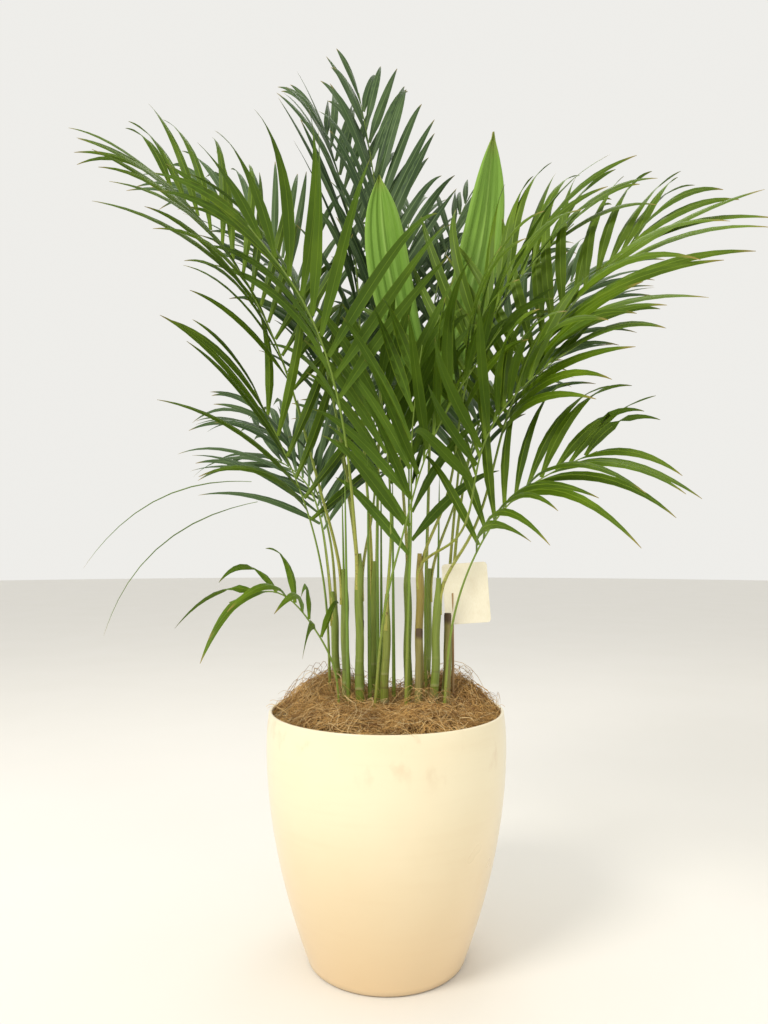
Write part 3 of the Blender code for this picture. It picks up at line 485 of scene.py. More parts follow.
class Surface:
    """Closed patches gathered into one mesh, with a UV map and a tone for each point.

    Every patch is a set of strands: a strand is a row of rings, all with the same number of
    corners, running anticlockwise seen from the strand's far end. U goes from 0 to 2 round
    a ring, so 0 to 1 is its first half, and V goes from 0 to 1 along the strand.
    """

    def __init__(self):
        self.points = []
        self.faces = []
        self.maps = []
        self.tones = []
        self.finishes = []
        self.count = 0

    def strands(self, rings, tones, finish=0, along=None):
        """Adds strands. rings is (strands, stations, corners, 3), tones one number for each strand."""
        strands, stations, corners, _ = rings.shape
        number = np.arange(strands * stations * corners).reshape(strands, stations, corners) + self.count
        after = np.roll(number, -1, axis=2)
        quads = np.stack([number[:, :-1], after[:, :-1], after[:, 1:], number[:, 1:]], axis=-1)
        u = 2 * np.arange(corners) / corners
        v = np.linspace(0, 1, stations) if along is None else np.asarray(along, float)
        u0, v0 = np.meshgrid(u, v[:-1])
        u1, v1 = np.meshgrid(u + 2 / corners, v[1:])
        quad_map = np.stack([u0, v0, u1, v0, u1, v1, u0, v1], axis=-1)
        cap_u = np.linspace(0, 2, corners)
        start_map = np.stack([cap_u[::-1], np.full(corners, v[0])], axis=-1)
        end_map = np.stack([cap_u, np.full(corners, v[-1])], axis=-1)
        self.points.append(rings.reshape(-1, 3))
        self.tones.append(np.repeat(np.asarray(tones, float), stations * corners))
        sides, start, end = quads.reshape(-1, 4), number[:, 0, ::-1], number[:, -1]
        for faces, face_map in ((sides, quad_map), (start, start_map), (end, end_map)):
            self.faces += faces.tolist()
            self.maps += [face_map.reshape(-1, 2)] * strands
            self.finishes.append(np.full(len(faces), finish))
        self.count += rings[..., 0].size

    def piece(self, name, nodes, finishes, crease=35):
        """The mesh as an object at the origin that rides on the body and stands for its nodes."""
        mesh = bpy.data.meshes.new(name)
        points = np.concatenate(self.points)
        mesh.from_pydata(points.tolist(), [], self.faces)
        uv = mesh.uv_layers.new(name="UVMap")
        uv.data.foreach_set("uv", np.concatenate(self.maps).astype(np.float32).ravel())
        tone = mesh.attributes.new("tone", "FLOAT", "POINT")
        tone.data.foreach_set("value", np.concatenate(self.tones).astype(np.float32))
        for finish in finishes:
            mesh.materials.append(finish)
        mesh.polygons.foreach_set("material_index", np.concatenate(self.finishes).astype(np.int32))
        mesh.update()
        mesh.shade_smooth()
        mesh.set_sharp_from_angle(angle=math.radians(crease))
        obj = placed(name, mesh)
        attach(obj, BODY)
        if nodes:
            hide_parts(*nodes)
        return obj


def skin(name, nodes, finish, rings, tones, crease=35, along=None):
    """A piece of one patch, in one finish."""
    drawn = Surface()
    drawn.strands(rings, tones, along=along)
    return drawn.piece(name, nodes, [finish], crease)


def placed(name, data):
    """A new object of the scene."""
    obj = bpy.data.objects.new(name, data)
    bpy.context.scene.collection.objects.link(obj)
    return obj


def circle(count):
    """Points of a flat circle of radius one."""
    angle = math.tau * np.arange(count) / count
    return np.stack([np.cos(angle), np.sin(angle), np.zeros(count)], axis=-1)


def side_axes(tangents, upper):
    """Sideways and upper directions square to each tangent, right-handed: sideways x upper = tangent."""
    side = unit(np.cross(upper, tangents))
    return side, np.cross(tangents, side)


def tubes(centres, radii, corners, reference=RIGHT):
    """Rings about centre lines: centre + radius * (cos a * sideways + sin a * upper).

    centres is (strands, stations, 3), radii the same without its last axis.
    """
    tangents = unit(np.gradient(centres, axis=1))
    side, upper = side_axes(tangents, np.broadcast_to(np.asarray(reference, float), tangents.shape))
    around = circle(corners)
    out = around[:, :1] * side[:, :, None] + around[:, 1:2] * upper[:, :, None]
    return centres[:, :, None] + radii[:, :, None, None] * out


def swollen(rings, centre, share):
    """One strand's rings, each corner moved out from the centre line to this share of its distance."""
    middle = centre[None, :, None]
    return middle + (rings - middle) * share[None, :, :, None]


def smooth_step(values, low, high):
    """0 below low, 1 above high, and 3t^2 - 2t^3 between."""
    t = np.clip((values - low) / (high - low), 0, 1)
    return t * t * (3 - 2 * t)


# ---------------------------------------------------------------- finishes

class Value:
    """A number that varies over a surface. Python's operators on it add Math nodes."""

    def __init__(self, finish, socket):
        self.finish = finish
        self.socket = socket

    def math(self, operation, *others, clamp=False):
        """A Math node on this value and the others."""
        inputs = dict(enumerate((self, *others)))
        return self.finish.value("ShaderNodeMath", {"operation": operation, "use_clamp": clamp}, inputs)

    def __add__(self, other):
        return self.math("ADD", other)

    def __radd__(self, other):
        return self.math("ADD", other)

    def __sub__(self, other):
        return self.math("SUBTRACT", other)

    def __rsub__(self, other):
        return (self * -1.0) + other

    def __mul__(self, other):
        return self.math("MULTIPLY", other)

    def __rmul__(self, other):
        return self.math("MULTIPLY", other)

    def __truediv__(self, other):
        return self.math("DIVIDE", other)

    def __gt__(self, other):
        return self.math("GREATER_THAN", other)

    def __abs__(self):
        return self.math("ABSOLUTE")

    def sine(self):
        return self.math("SINE")

    def fraction(self):
        return self.math("FRACT")

    def held(self):
        """Kept between 0 and 1."""
        return self.math("ADD", 0.0, clamp=True)

    def step(self, low, high):
        """0 at low, 1 at high, smooth between; high may be the smaller."""
        inputs = {"Value": self, "From Min": low, "From Max": high}
        return self.finish.value("ShaderNodeMapRange", {"interpolation_type": "SMOOTHSTEP"}, inputs)


class Finish:
    """A material whose patterns are worked out from places, UV maps and tones."""

    def __init__(self, name, **constants):
        self.material = bpy.data.materials.new(name)
        self.material.use_nodes = True
        self.tree = self.material.node_tree
        self.shader = self.tree.nodes["Principled BSDF"]
        for socket, value in constants.items():
            self.shader.inputs[socket.replace("_", " ")].default_value = value
        self.spots = self.node("ShaderNodeTexCoord").outputs

    def node(self, kind, settings=None, inputs=None):
        """Any node: its settings first, then the values or links of its sockets."""
        made = self.tree.nodes.new(kind)
        for name, setting in (settings or {}).items():
            setattr(made, name, setting)
        for name, wanted in (inputs or {}).items():
            wanted = wanted.socket if isinstance(wanted, Value) else wanted
            if isinstance(wanted, bpy.types.NodeSocket):
                self.tree.links.new(wanted, made.inputs[name])
            else:
                made.inputs[name].default_value = wanted
        return made

    def value(self, kind, settings=None, inputs=None, output=0):
        return Value(self, self.node(kind, settings, inputs).outputs[output])

    def map_uv(self):
        """(U, V) of the piece's own map."""
        parts = self.node("ShaderNodeSeparateXYZ", inputs={0: self.spots["UV"]})
        return [Value(self, parts.outputs[axis]) for axis in "XY"]

    def xyz(self):
        """(X, Y, Z) of the place, in metres."""
        parts = self.node("ShaderNodeSeparateXYZ", inputs={0: self.spots["Object"]})
        return [Value(self, parts.outputs[axis]) for axis in "XYZ"]

    def vector(self, x, y, z):
        return self.node("ShaderNodeCombineXYZ", inputs={0: x, 1: y, 2: z}).outputs[0]

    def tone(self):
        return self.value("ShaderNodeAttribute", {"attribute_name": "tone"}, output="Fac")

    def noise(self, scale, detail=3.0, where=None):
        inputs = {"Vector": where or self.spots["Object"], "Scale": scale, "Detail": detail}
        return self.value("ShaderNodeTexNoise", inputs=inputs)

    def cells(self, scale):
        return self.value("ShaderNodeTexVoronoi", inputs={"Vector": self.spots["Object"], "Scale": scale})

    def blend(self, share, low, high):
        """A colour from low to high; either may be a colour or another blend."""
        inputs = {0: share}
        for number, colour in ((6, low), (7, high)):
            inputs[number] = (*colour, 1.0) if isinstance(colour, tuple) else colour
        return self.node("ShaderNodeMix", {"data_type": "RGBA"}, inputs).outputs[2]

    def wear(self, colour, roughness, height=None, strength=0.3, depth=0.001):
        """The material, with the worked-out colour, roughness and height linked to its shader."""
        self.tree.links.new(colour, self.shader.inputs["Base Color"])
        self.tree.links.new(roughness.socket, self.shader.inputs["Roughness"])
        if height is not None:
            bump_inputs = {"Strength": strength, "Distance": depth, "Height": height}
            bump = self.node("ShaderNodeBump", inputs=bump_inputs)
            self.tree.links.new(bump.outputs["Normal"], self.shader.inputs["Normal"])
        return self.material


def leaf_finish(name, deep, middle, fresh, rib, under):
    """Blade of a leaflet: fine veins along it, a pale rib, a painted highlight that lightens its edges, a
    straw-coloured tip.
    """
    finish = Finish(name, Specular_IOR_Level=0.20)
    u, v = finish.map_uv()
    tone = finish.tone()
    across = abs(u.fraction() * 2 - 1)
    below = u > 1.0
    streak = finish.noise(1.0, 4.0, finish.vector(across * 9, v * 3.2, tone * 53 + below * 7))
    cloud = finish.noise(16.0, 2.0)
    vein = (across * 47).sine() * 0.5 + 0.5
    colour = finish.blend((tone + streak * 0.8 - 0.40).held(), deep, middle)
    colour = finish.blend((cloud.step(0.45, 0.75) * 0.25 + tone * 0.22 + vein * 0.10).held(), colour, fresh)
    # Painted highlight: the edges lightened towards the fresh colour, as if lit along their rims.
    colour = finish.blend(across.step(0.80, 1.0) * 0.45, colour, fresh)
    colour = finish.blend(across.step(0.11, 0.03) * 0.75, colour, rib)
    colour = finish.blend(v.step(0.12, 0.0) * 0.6, colour, rib)
    colour = finish.blend((v + tone * 0.06).step(0.93, 1.04) * 0.8, colour, (0.34, 0.24, 0.07))
    colour = finish.blend(below * 0.55, colour, under)
    rough = streak * 0.22 + 0.34 + below * 0.14
    height = vein * 0.35 + streak * 0.8 + across.step(0.14, 0.0) * -0.7
    return finish.wear(colour, rough, height, strength=0.35, depth=0.0008)


def stalk_finish(name, low, high, speck):
    """Petiole and midrib: straw yellow at the foot, green above, brown scurfy specks and long streaks."""
    finish = Finish(name)
    u, v = finish.map_uv()
    streak = finish.noise(1.0, 3.0, finish.vector(u * 16, v * 9, finish.tone() * 31))
    scurf = finish.noise(420.0, 2.0).step(0.58, 0.70)
    colour = finish.blend((v * 2.2 + streak * 0.5 - 0.2).held(), low, high)
    colour = finish.blend(scurf * (v.step(0.6, 0.0) * 0.7 + 0.1), colour, speck)
    colour = finish.blend(streak.step(0.60, 0.85) * 0.4, colour, (0.42, 0.44, 0.12))
    return finish.wear(colour, streak * 0.25 + 0.30, streak + scurf * 0.6, strength=0.3, depth=0.0006)


def cane_finish():
    """Cane: smooth yellow-green streaks along it, brown and papery at its foot, with faint rings."""
    finish = Finish("cane_bark")
    u = finish.map_uv()[0]
    z = finish.xyz()[2]
    tone = finish.tone()
    streak = finish.noise(1.0, 4.0, finish.vector(u * 11, z * 30, tone * 37))
    patch = finish.noise(46.0, 3.0)
    low_down = (z - POT_HEIGHT) / 0.16
    ring = (z * (math.tau / RING_SPACING) + tone * 23).sine()
    foot = low_down.step(0.55, 0.15)
    green = finish.blend(streak, (0.085, 0.130, 0.010), (0.27, 0.34, 0.050))
    ripe = finish.blend(streak, (0.22, 0.145, 0.022), (0.42, 0.34, 0.085))
    dry = finish.blend(streak, (0.11, 0.060, 0.024), (0.38, 0.25, 0.11))
    colour = finish.blend(tone.step(0.45, 0.85), green, ripe)
    colour = finish.blend(streak.step(0.62, 0.80) * 0.35, colour, (0.50, 0.50, 0.16))
    papery = (patch * 1.5 - low_down * 1.9 + tone * 0.5).step(0.62, 0.95)
    colour = finish.blend(papery * 0.85, colour, dry)
    colour = finish.blend(ring.step(0.93, 1.0) * foot * 0.35, colour, (0.46, 0.40, 0.22))
    colour = finish.blend(ring.step(-0.95, -1.0) * foot * 0.5, colour, (0.11, 0.07, 0.025))
    height = streak + papery * 0.8 + ring.step(0.85, 1.0) * foot
    return finish.wear(colour, papery * 0.3 + streak * 0.2 + 0.3, height, strength=0.45, depth=0.0010)


def stub_finish():
    """Cut stub: brown fibrous sheath, bleached streaks, a dark dried cut."""
    finish = Finish("dry_stub")
    u, v = finish.map_uv()
    streak = finish.noise(1.0, 5.0, finish.vector(u * 15, v * 5, finish.tone() * 29))
    colour = finish.blend(streak.step(0.3, 0.75), (0.11, 0.06, 0.02), (0.40, 0.29, 0.12))
    colour = finish.blend(v.step(0.35, 0.6) * 0.5, colour, (0.24, 0.25, 0.05))
    colour = finish.blend((v + streak * 0.05).step(0.95, 0.99), colour, (0.085, 0.050, 0.022))
    return finish.wear(colour, streak * 0.3 + 0.5, streak, strength=0.8, depth=0.0012)


def strand_finish(name, dark, golden, pale):
    """Coconut fibre: each strand its own brown, finely scored."""
    finish = Finish(name, Specular_IOR_Level=0.35)
    u, v = finish.map_uv()
    tone = finish.tone()
    colour = finish.blend(tone.step(0.0, 0.55), dark, golden)
    colour = finish.blend(tone.step(0.55, 1.0), colour, pale)
    patch = finish.noise(22.0, 2.0)
    colour = finish.blend(patch.step(0.62, 0.35) * 0.45, colour, dark)
    score = finish.noise(1.0, 2.0, finish.vector(u * 5, v * 60, tone * 41))
    return finish.wear(colour, score * 0.3 + 0.5, score, strength=0.4, depth=0.0004)


def bed_finish():
    """The mat under the loose strands: matted fibre, crossed dark and golden threads."""
    finish = Finish("matted_fibre", Specular_IOR_Level=0.25)
    x, y, z = finish.xyz()
    swirl = finish.noise(14.0, 2.0)
    one = finish.noise(1.0, 3.0, finish.vector(x * 900 + swirl * 40, y * 110, z * 300))
    two = finish.noise(1.0, 3.0, finish.vector(x * 120, y * 900 - swirl * 40, z * 300))
    thread = one.math("MAXIMUM", two)
    colour = finish.blend(thread.step(0.47, 0.75), (0.085, 0.042, 0.014), (0.60, 0.37, 0.14))
    return finish.wear(colour, 0.95 - thread * 0.2, thread, strength=1.0, depth=0.004)


def soil_finish():
    """Peaty potting soil: near black crumbs with lighter specks."""
    finish = Finish("crumbly_soil", Specular_IOR_Level=0.2)
    crumbs = finish.cells(240.0)
    fine = finish.noise(600.0, 3.0)
    colour = finish.blend(fine, (0.016, 0.010, 0.006), (0.085, 0.050, 0.028))
    colour = finish.blend(fine.step(0.68, 0.75), colour, (0.30, 0.22, 0.13))
    return finish.wear(colour, 0.98 - fine * 0.2, fine - crumbs, strength=1.0, depth=0.004)


def glaze_finish():
    """Cream glaze: faint clouds and throwing rings, painted shade that darkens it to tan towards the foot, a
    painted shadow along its base, scuffs under the rim.
    """
    finish = Finish("cream_glaze", Specular_IOR_Level=0.5, Coat_Weight=0.25, Coat_Roughness=0.12)
    x, y, z = finish.xyz()
    cloud = finish.noise(9.0, 3.0)
    around = finish.noise(1.0, 3.0, finish.vector(x * 7, y * 7, z * 90))
    smear = finish.noise(1.0, 4.0, finish.vector(x * 34, y * 34, z * 22))
    speck = finish.noise(900.0, 2.0)
    colour = finish.blend(cloud, (0.84, 0.73, 0.50), (0.90, 0.82, 0.60))
    colour = finish.blend(around.step(0.5, 0.8) * 0.12, colour, (0.76, 0.60, 0.38))
    # Painted shade: the glaze darkens and warms to tan from the belly down to the foot.
    colour = finish.blend(z.step(0.27, 0.0) * 0.62, colour, (0.72, 0.47, 0.23))
    rim = z.step(POT_HEIGHT - 0.070, POT_HEIGHT - 0.010)
    colour = finish.blend(smear.step(0.56, 0.74) * (rim * 0.50 + 0.02), colour, (0.62, 0.42, 0.24))
    # Painted shadow: the lowest centimetre darkened where the foot meets the floor.
    colour = finish.blend(z.step(0.010, 0.0) * (cloud * 0.5 + 0.2), colour, (0.42, 0.32, 0.20))
    colour = finish.blend(speck.step(0.72, 0.78) * 0.25, colour, (0.60, 0.46, 0.28))
    rough = 0.24 + cloud * 0.10 + smear.step(0.6, 0.8) * 0.12
    return finish.wear(colour, rough, cloud * 0.6 + around * 0.5 + speck * 0.04, strength=0.12, depth=0.003)


def card_finish():
    """Blank card: cream fibres in the paper, faint stains, edges a little browned."""
    finish = Finish("plain_card", Specular_IOR_Level=0.3)
    v = finish.map_uv()[1]
    x, y, z = finish.xyz()
    fibre = finish.noise(1.0, 3.0, finish.vector(x * 900, y * 900, z * 260))
    cloud = finish.noise(35.0, 2.0)
    colour = finish.blend(fibre, (0.84, 0.77, 0.58), (0.94, 0.89, 0.74))
    colour = finish.blend(cloud.step(0.55, 0.8) * 0.3, colour, (0.62, 0.50, 0.31))
    colour = finish.blend(abs(v * 2 - 1).step(0.93, 1.0) * 0.25, colour, (0.50, 0.38, 0.22))
    return finish.wear(colour, fibre * 0.2 + 0.62, fibre, strength=0.25, depth=0.0004)


def stake_finish():
    """Thin wooden stake: long grain, darker where it is damp."""
    finish = Finish("stake_wood", Specular_IOR_Level=0.3)
    x, y, z = finish.xyz()
    grain = finish.noise(1.0, 4.0, finish.vector(x * 700, y * 700, z * 24))
    colour = finish.blend(grain.step(0.3, 0.7), (0.20, 0.11, 0.045), (0.46, 0.31, 0.15))
    colour = finish.blend(z.step(POT_HEIGHT + 0.02, POT_HEIGHT - 0.01) * 0.6, colour, (0.08, 0.045, 0.02))
    return finish.wear(colour, grain * 0.25 + 0.6, grain, strength=0.5, depth=0.0006)


def floor_finish():
    """Pale matt studio floor, with the least trace of mottling."""
    finish = Finish("studio_floor", Specular_IOR_Level=0.2)
    cloud = finish.noise(3.0, 2.0)
    colour = finish.blend(cloud, (0.80, 0.78, 0.73), (0.83, 0.81, 0.77))
    return finish.wear(colour, cloud * 0.1 + 0.75)


# ---------------------------------------------------------------- fronds

def blade_rings(leaflets, shape):
    """Rings of every leaflet of a frond: left edge, ridge, right edge, and the ridge's underside.

    Half width = width / 2 * (0.34 + 0.66 * smooth step of share to 0.26) * (1 - share^2.3)^0.95.
    The ridge stands over the edges by fold * half width. Past the solid's own droop the tip
    sags by sag * length * share^4, bends sideways by bend * length * share^2, arches upward by
    arch * length * 4 * share * (1 - share), and the blade turns about its line by twist * share.
    """
    count = len(leaflets.length)
    sag = shape.uniform(0.0, 0.10, count)[:, None]
    bend = shape.uniform(-0.04, 0.04, count)[:, None]
    arch = shape.uniform(0.01, 0.09, count)[:, None]
    twist = np.radians(shape.uniform(-40, 40, count))[:, None]
    share = BLADE_SHARES[None, :]
    length = leaflets.length[:, None]
    fall = leaflets.droop[:, None] * length * share ** 2 + sag * length * share ** 4
    centre = leaflets.root[:, None] + leaflets.heading[:, None] * (length * share)[..., None]
    centre = centre - UP * fall[..., None]
    centre = centre + leaflets.along[:, None] * (bend * length * share ** 2)[..., None]
    centre = centre + leaflets.upper[:, None] * (arch * length * 4 * share * (1 - share))[..., None]
    tangents = unit(np.gradient(centre, axis=1))
    along = leaflets.along[:, None]
    across = along - (tangents * along).sum(axis=2)[..., None] * tangents
    face = unit(np.cross(tangents, unit(across)) * leaflets.side[:, None, None])
    side, face = side_axes(tangents, face)
    turn = (twist * share)[..., None]
    side, face = np.cos(turn) * side + np.sin(turn) * face, np.cos(turn) * face - np.sin(turn) * side
    half = BLADE_SLIMNESS * leaflets.width[:, None] / 2 * (0.34 + 0.66 * smooth_step(share, 0.0, 0.26))
    half = (half * (1 - share ** 2.3) ** 0.95 + BLADE_TIP)[..., None]
    fold = 0.42 - 0.22 * share[..., None]
    ridge = centre + face * half * fold
    thick = np.minimum(BLADE_THICKNESS, 0.5 * half)
    return np.stack([centre + side * half, ridge, centre - side * half, ridge - face * thick], axis=2)


def petiole_rings(midrib):
    """Rings of the petiole and midrib: round below, channelled along the top, wider at the foot."""
    stations = np.linspace(0, 1, PETIOLE_STATIONS)
    points, tangents, upper, _ = midrib.axes(stations)
    side, face = side_axes(tangents, upper)
    tip = 0.7 * MIDRIB_TIP_RADIUS
    radius = PETIOLE_RADIUS + (tip - PETIOLE_RADIUS) * stations ** MIDRIB_NARROWING
    radius = radius * (1 + 0.12 * smooth_step(stations, 0.12, 0.0))
    out, rise, _ = circle(PETIOLE_CORNERS).T
    rise = rise * np.where(rise > 0.9, 0.35, 0.9)
    ring = out[None, :, None] * side[:, None] + rise[None, :, None] * face[:, None]
    return (points[:, None] + radius[:, None, None] * ring)[None]


def make_frond(number, frond, finishes):
    """One frond: its petiole and midrib as a tube, and a folded blade for every leaflet."""
    midrib = placed_midrib(frond)
    leaflets = Leaflets(number, midrib)
    shape = np.random.default_rng(SHAPES + number)
    drawn = Surface()
    age = FROND_AGES.get(frond.name, shape.uniform(0.1, 0.8))
    drawn.strands(petiole_rings(midrib), [age], finish=1)
    tones = np.clip(0.65 * age + 0.35 * shape.uniform(0, 1, len(leaflets.length)), 0, 1)
    drawn.strands(blade_rings(leaflets, shape), tones, finish=0, along=BLADE_SHARES)
    # Fronds at the back wear a darker, greyer copy of the leaf finish: painted shade, not a colour of their
    # own.
    behind = "back" in frond.name or "behind" in frond.name
    blade, slot = (finishes["back"], "back_leaf") if behind else (finishes["front"], "front_leaf")
    drawn.piece(f"{frond.name}_blades", [frond.name], [blade, finishes["stalk"]])


def lobe_rings(root, heading, facing, sideways, length, width):
    """Rings of one pleated lobe: a sheet across which the height runs up and down in even folds.

    Half width = width / 2 * (0.1 + 0.9 * profile) * (1 - share^14), with profile =
    share^0.55 * (1 - share)^0.50 scaled to 1 at its widest. The fold height is a triangle wave
    across the lobe, and the sheet cups by the square of the distance from its middle. It faces
    half to the side at its foot, and turns the other way towards its tip.
    """
    share = np.linspace(0, 1, LOBE_STATIONS)[:, None]
    across = np.linspace(1, -1, LOBE_ACROSS)[None, :]
    profile = share ** 0.55 * np.clip(1 - share, 0, 1) ** 0.50
    profile = profile / profile.max()
    half = width / 2 * (0.10 + 0.90 * profile) * (1 - share ** 14) + 0.0004
    centre = root + heading * length * share + sideways * 0.05 * length * np.sin(math.pi * share)
    tangents = unit(np.gradient(centre, axis=0))
    turned = unit(facing + sideways * (0.5 - 0.9 * share))
    side, face = side_axes(tangents, turned)
    wave = np.abs(((across * LOBE_PLEATS / 2 + 0.5) % 1.0) * 2 - 1) - 0.5
    rise = half * (0.16 * wave - 0.22 * across ** 2) + 0.0016 * np.sin(9 * share + 4 * across)
    top = centre[:, None] + side[:, None] * (half * across)[..., None] + face[:, None] * rise[..., None]
    bottom = top - face[:, None] * LOBE_THICKNESS
    return np.concatenate([top, bottom[:, -2:0:-1]], axis=1)[None]


def make_young_leaf(finishes):
    """The unopened frond: a stout petiole that forks into two broad pleated lobes."""
    frond = FRONDS[0]
    midrib = placed_midrib(frond)
    leaflets = Leaflets(0, midrib)
    drawn = Surface()
    drawn.strands(petiole_rings(midrib), [0.7], finish=1)
    for row in range(len(leaflets.length)):
        start = leaflets.root[row] - leaflets.heading[row] * LOBE_OVERLAP
        rings = lobe_rings(start, leaflets.heading[row], leaflets.upper[row], leaflets.out[row],
                           leaflets.length[row] + LOBE_OVERLAP, LOBE_WIDTH)
        drawn.strands(rings, [0.35 + 0.3 * row])
    drawn.piece("young_leaf_lobes", [frond.name], [finishes["young"], finishes["stalk"]],
                crease=25)


def hanging_threads(finishes):
    """Long thread-like leaflets of the low left frond, that arch over and hang.

    Each runs along a parabola from its start, towards the point over it, to its end:
    (1 - share)^2 * start + 2 * share * (1 - share) * over + share^2 * end.
    """
    shape = np.random.default_rng(SHAPES + 100)
    ways = np.array(THREADS)
    start, over, end = ways[:, 0], ways[:, 1], ways[:, 2]
    share = BLADE_SHARES[None, :, None]
    line = (1 - share) ** 2 * start[:, None] + share ** 2 * end[:, None]
    line = line + 2 * share * (1 - share) * over[:, None]
    tangents = unit(np.gradient(line, axis=1))
    side, face = side_axes(tangents, np.broadcast_to(UP + 0.01, tangents.shape))
    half = THREAD_HALF_WIDTH * (0.4 + 0.6 * smooth_step(share, 0.0, 0.3)) * (1 - share ** 2) ** 0.9 + 0.0002
    ridge = line + face * half * 0.4
    rings = np.stack([line + side * half, ridge, line - side * half, ridge - face * half * 0.5], axis=2)
    tones = shape.uniform(0.4, 1.0, len(ways))
    skin("hanging_leaflets", [], finishes["front"], rings, tones, along=BLADE_SHARES)


# ---------------------------------------------------------------- canes and stubs

def make_cane(number, name, tone, finishes):
    """A cane with low collars at its foot, and a sheath that runs on past its top.

    Radius = cane radius, thick at the foot and narrowing, times 1 + a hump at each ring that
    fades with height; above the top it closes on the petioles over the sheath's length, and
    bulges there on two sides by a tenth.
    """
    foot, top = stem_line(*CANES[name])
    way = unit(top - foot)
    length = np.linalg.norm(top - foot)
    shape = np.random.default_rng(SHAPES + 200 + number)
    run = np.linspace(0, length + SHEATH_LENGTH, CANE_STATIONS)
    centre = foot + way * run[:, None]
    wobble = 0.0007 * np.sin(run[:, None] * np.array((70.0, 93.0)) + shape.uniform(0, 6, 2))
    centre[:, :2] += wobble * smooth_step(run, SOCKET_DEPTH * 1.5, SOCKET_DEPTH * 2)[:, None]
    phase = centre[:, 2] * (math.tau / RING_SPACING) + tone * 23
    up_share = run / length
    collar = 0.06 * smooth_step(np.sin(phase), 0.80, 1.0) * smooth_step(up_share, 0.75, 0.45)
    radius = CANE_RADIUS * (1.10 - 0.30 * up_share) * (1 + collar)
    above = run - length
    swell = smooth_step(above, -0.040, 0.004) * 0.12
    close = 1 - 0.42 * smooth_step(above, 0.010, SHEATH_LENGTH)
    radius = radius * (1 + swell) * close
    rings = tubes(centre[None], radius[None], CANE_CORNERS)
    angle = math.tau * np.arange(CANE_CORNERS) / CANE_CORNERS
    split = 0.10 * np.sin(2 * angle + shape.uniform(0, 6))
    rings = swollen(rings, centre, 1 + smooth_step(above, -0.01, 0.03)[:, None] * split)
    skin(f"{name}_skin", [name], finishes["cane"], rings, [tone], STEM_CREASE)


def make_stub(number, name, finishes):
    """A cut stub: a dry sheath ribbed by a sine round it, its top cut and sunken."""
    foot, top = stem_line(*STUBS[name])
    shape = np.random.default_rng(SHAPES + 300 + number)
    run = np.concatenate([np.linspace(0, 0.94, 26), (0.97, 0.99, 1.0, 0.995, 0.985)])
    centre = foot + (top - foot) * run[:, None]
    radius = STUB_RADIUS * (1.06 - 0.12 * run) * (1 + 0.05 * np.sin(run * 31 + shape.uniform(0, 6)))
    radius[-3:] = radius[-3] * np.array((0.90, 0.70, 0.15))
    rings = tubes(centre[None], radius[None], STUB_CORNERS)
    rib = 1 + 0.06 * np.sin(STUB_RIBS * math.tau * np.arange(STUB_CORNERS) / STUB_CORNERS)
    rings = swollen(rings, centre, rib[None])
    tone = [shape.uniform(0, 1)]
    skin(f"{name}_sheath", [name], finishes["stub"], rings, tone, STEM_CREASE, run)


def make_spear(number, name, finishes):
    """A new leaf still rolled up: a long taper to a point, grooved where its edge laps over.

    The groove is a bell across the angle round the spear, and winds on by 1.5 radians to the tip.
    """
    foot, top = stem_line(*SPEARS[name])
    shape = np.random.default_rng(SHAPES + 400 + number)
    run = np.linspace(0, 1, SPEAR_STATIONS)
    centre = foot + (top - foot) * run[:, None]
    radius = SPEAR_RADIUS * (1 - (1 - SPEAR_NARROWING) * run) * (1 - run ** 24)
    radius[-1] = SPEAR_RADIUS * 0.03
    angle = math.tau * np.arange(SPEAR_CORNERS) / SPEAR_CORNERS
    groove = 1 - 0.16 * np.exp(-((angle - math.pi - 1.5 * run[:, None]) / 0.4) ** 2)
    rings = swollen(tubes(centre[None], radius[None], SPEAR_CORNERS), centre, groove)
    tone = [shape.uniform(0, 1)]
    skin(f"{name}_roll", [name], finishes["spear"], rings, tone, STEM_CREASE, run)


# ---------------------------------------------------------------- pot, fibre mat and card

def pot_radius(height):
    """Outer radius at a height: a power curve from base to belly, then a square curve in to the rim."""
    belly = POT_HEIGHT - POT_BELLY_BELOW_RIM
    over = np.clip((height - belly) / POT_BELLY_BELOW_RIM, 0, 1)
    under = np.clip((belly - height) / belly, 0, 1)
    turned_in = POT_BELLY_RADIUS - (POT_BELLY_RADIUS - POT_RIM_RADIUS) * over ** 2
    tapered = POT_BELLY_RADIUS - (POT_BELLY_RADIUS - POT_BASE_RADIUS) * under ** POT_TAPER_POWER
    return np.where(height >= belly, turned_in, tapered)


def make_pot(finish):
    """The pot's profile turned about Z: rounded foot, wall, half-round lip, then down inside."""
    foot_angle = np.radians(np.linspace(90, 0, 7))
    foot_radius = pot_radius(np.array(POT_FOOT_ROUND)) - POT_FOOT_ROUND * (1 - np.cos(foot_angle))
    foot_height = POT_FOOT_ROUND * (1 - np.sin(foot_angle))
    wall_height = np.linspace(POT_FOOT_ROUND, POT_HEIGHT, 60)[1:]
    lip_angle = np.radians(np.linspace(0, 180, 9))[1:-1]
    lip_radius = POT_RIM_RADIUS - POT_WALL / 2 + POT_WALL / 2 * np.cos(lip_angle)
    lip_height = POT_HEIGHT + POT_WALL / 3 * np.sin(lip_angle)
    inner_height = np.linspace(POT_HEIGHT, POT_FLOOR, 40)
    radius = np.concatenate([(0.001,), foot_radius, pot_radius(wall_height), lip_radius,
                             pot_radius(inner_height) - POT_WALL, (0.001,)])
    height = np.concatenate([(0.0,), foot_height, wall_height, lip_height, inner_height, (POT_FLOOR,)])
    rings = radius[:, None, None] * circle(POT_SIDES) + height[:, None, None] * UP
    drill_drains(skin("glazed_pot", ["pot"], finish, rings[None], [0.0], crease=40))


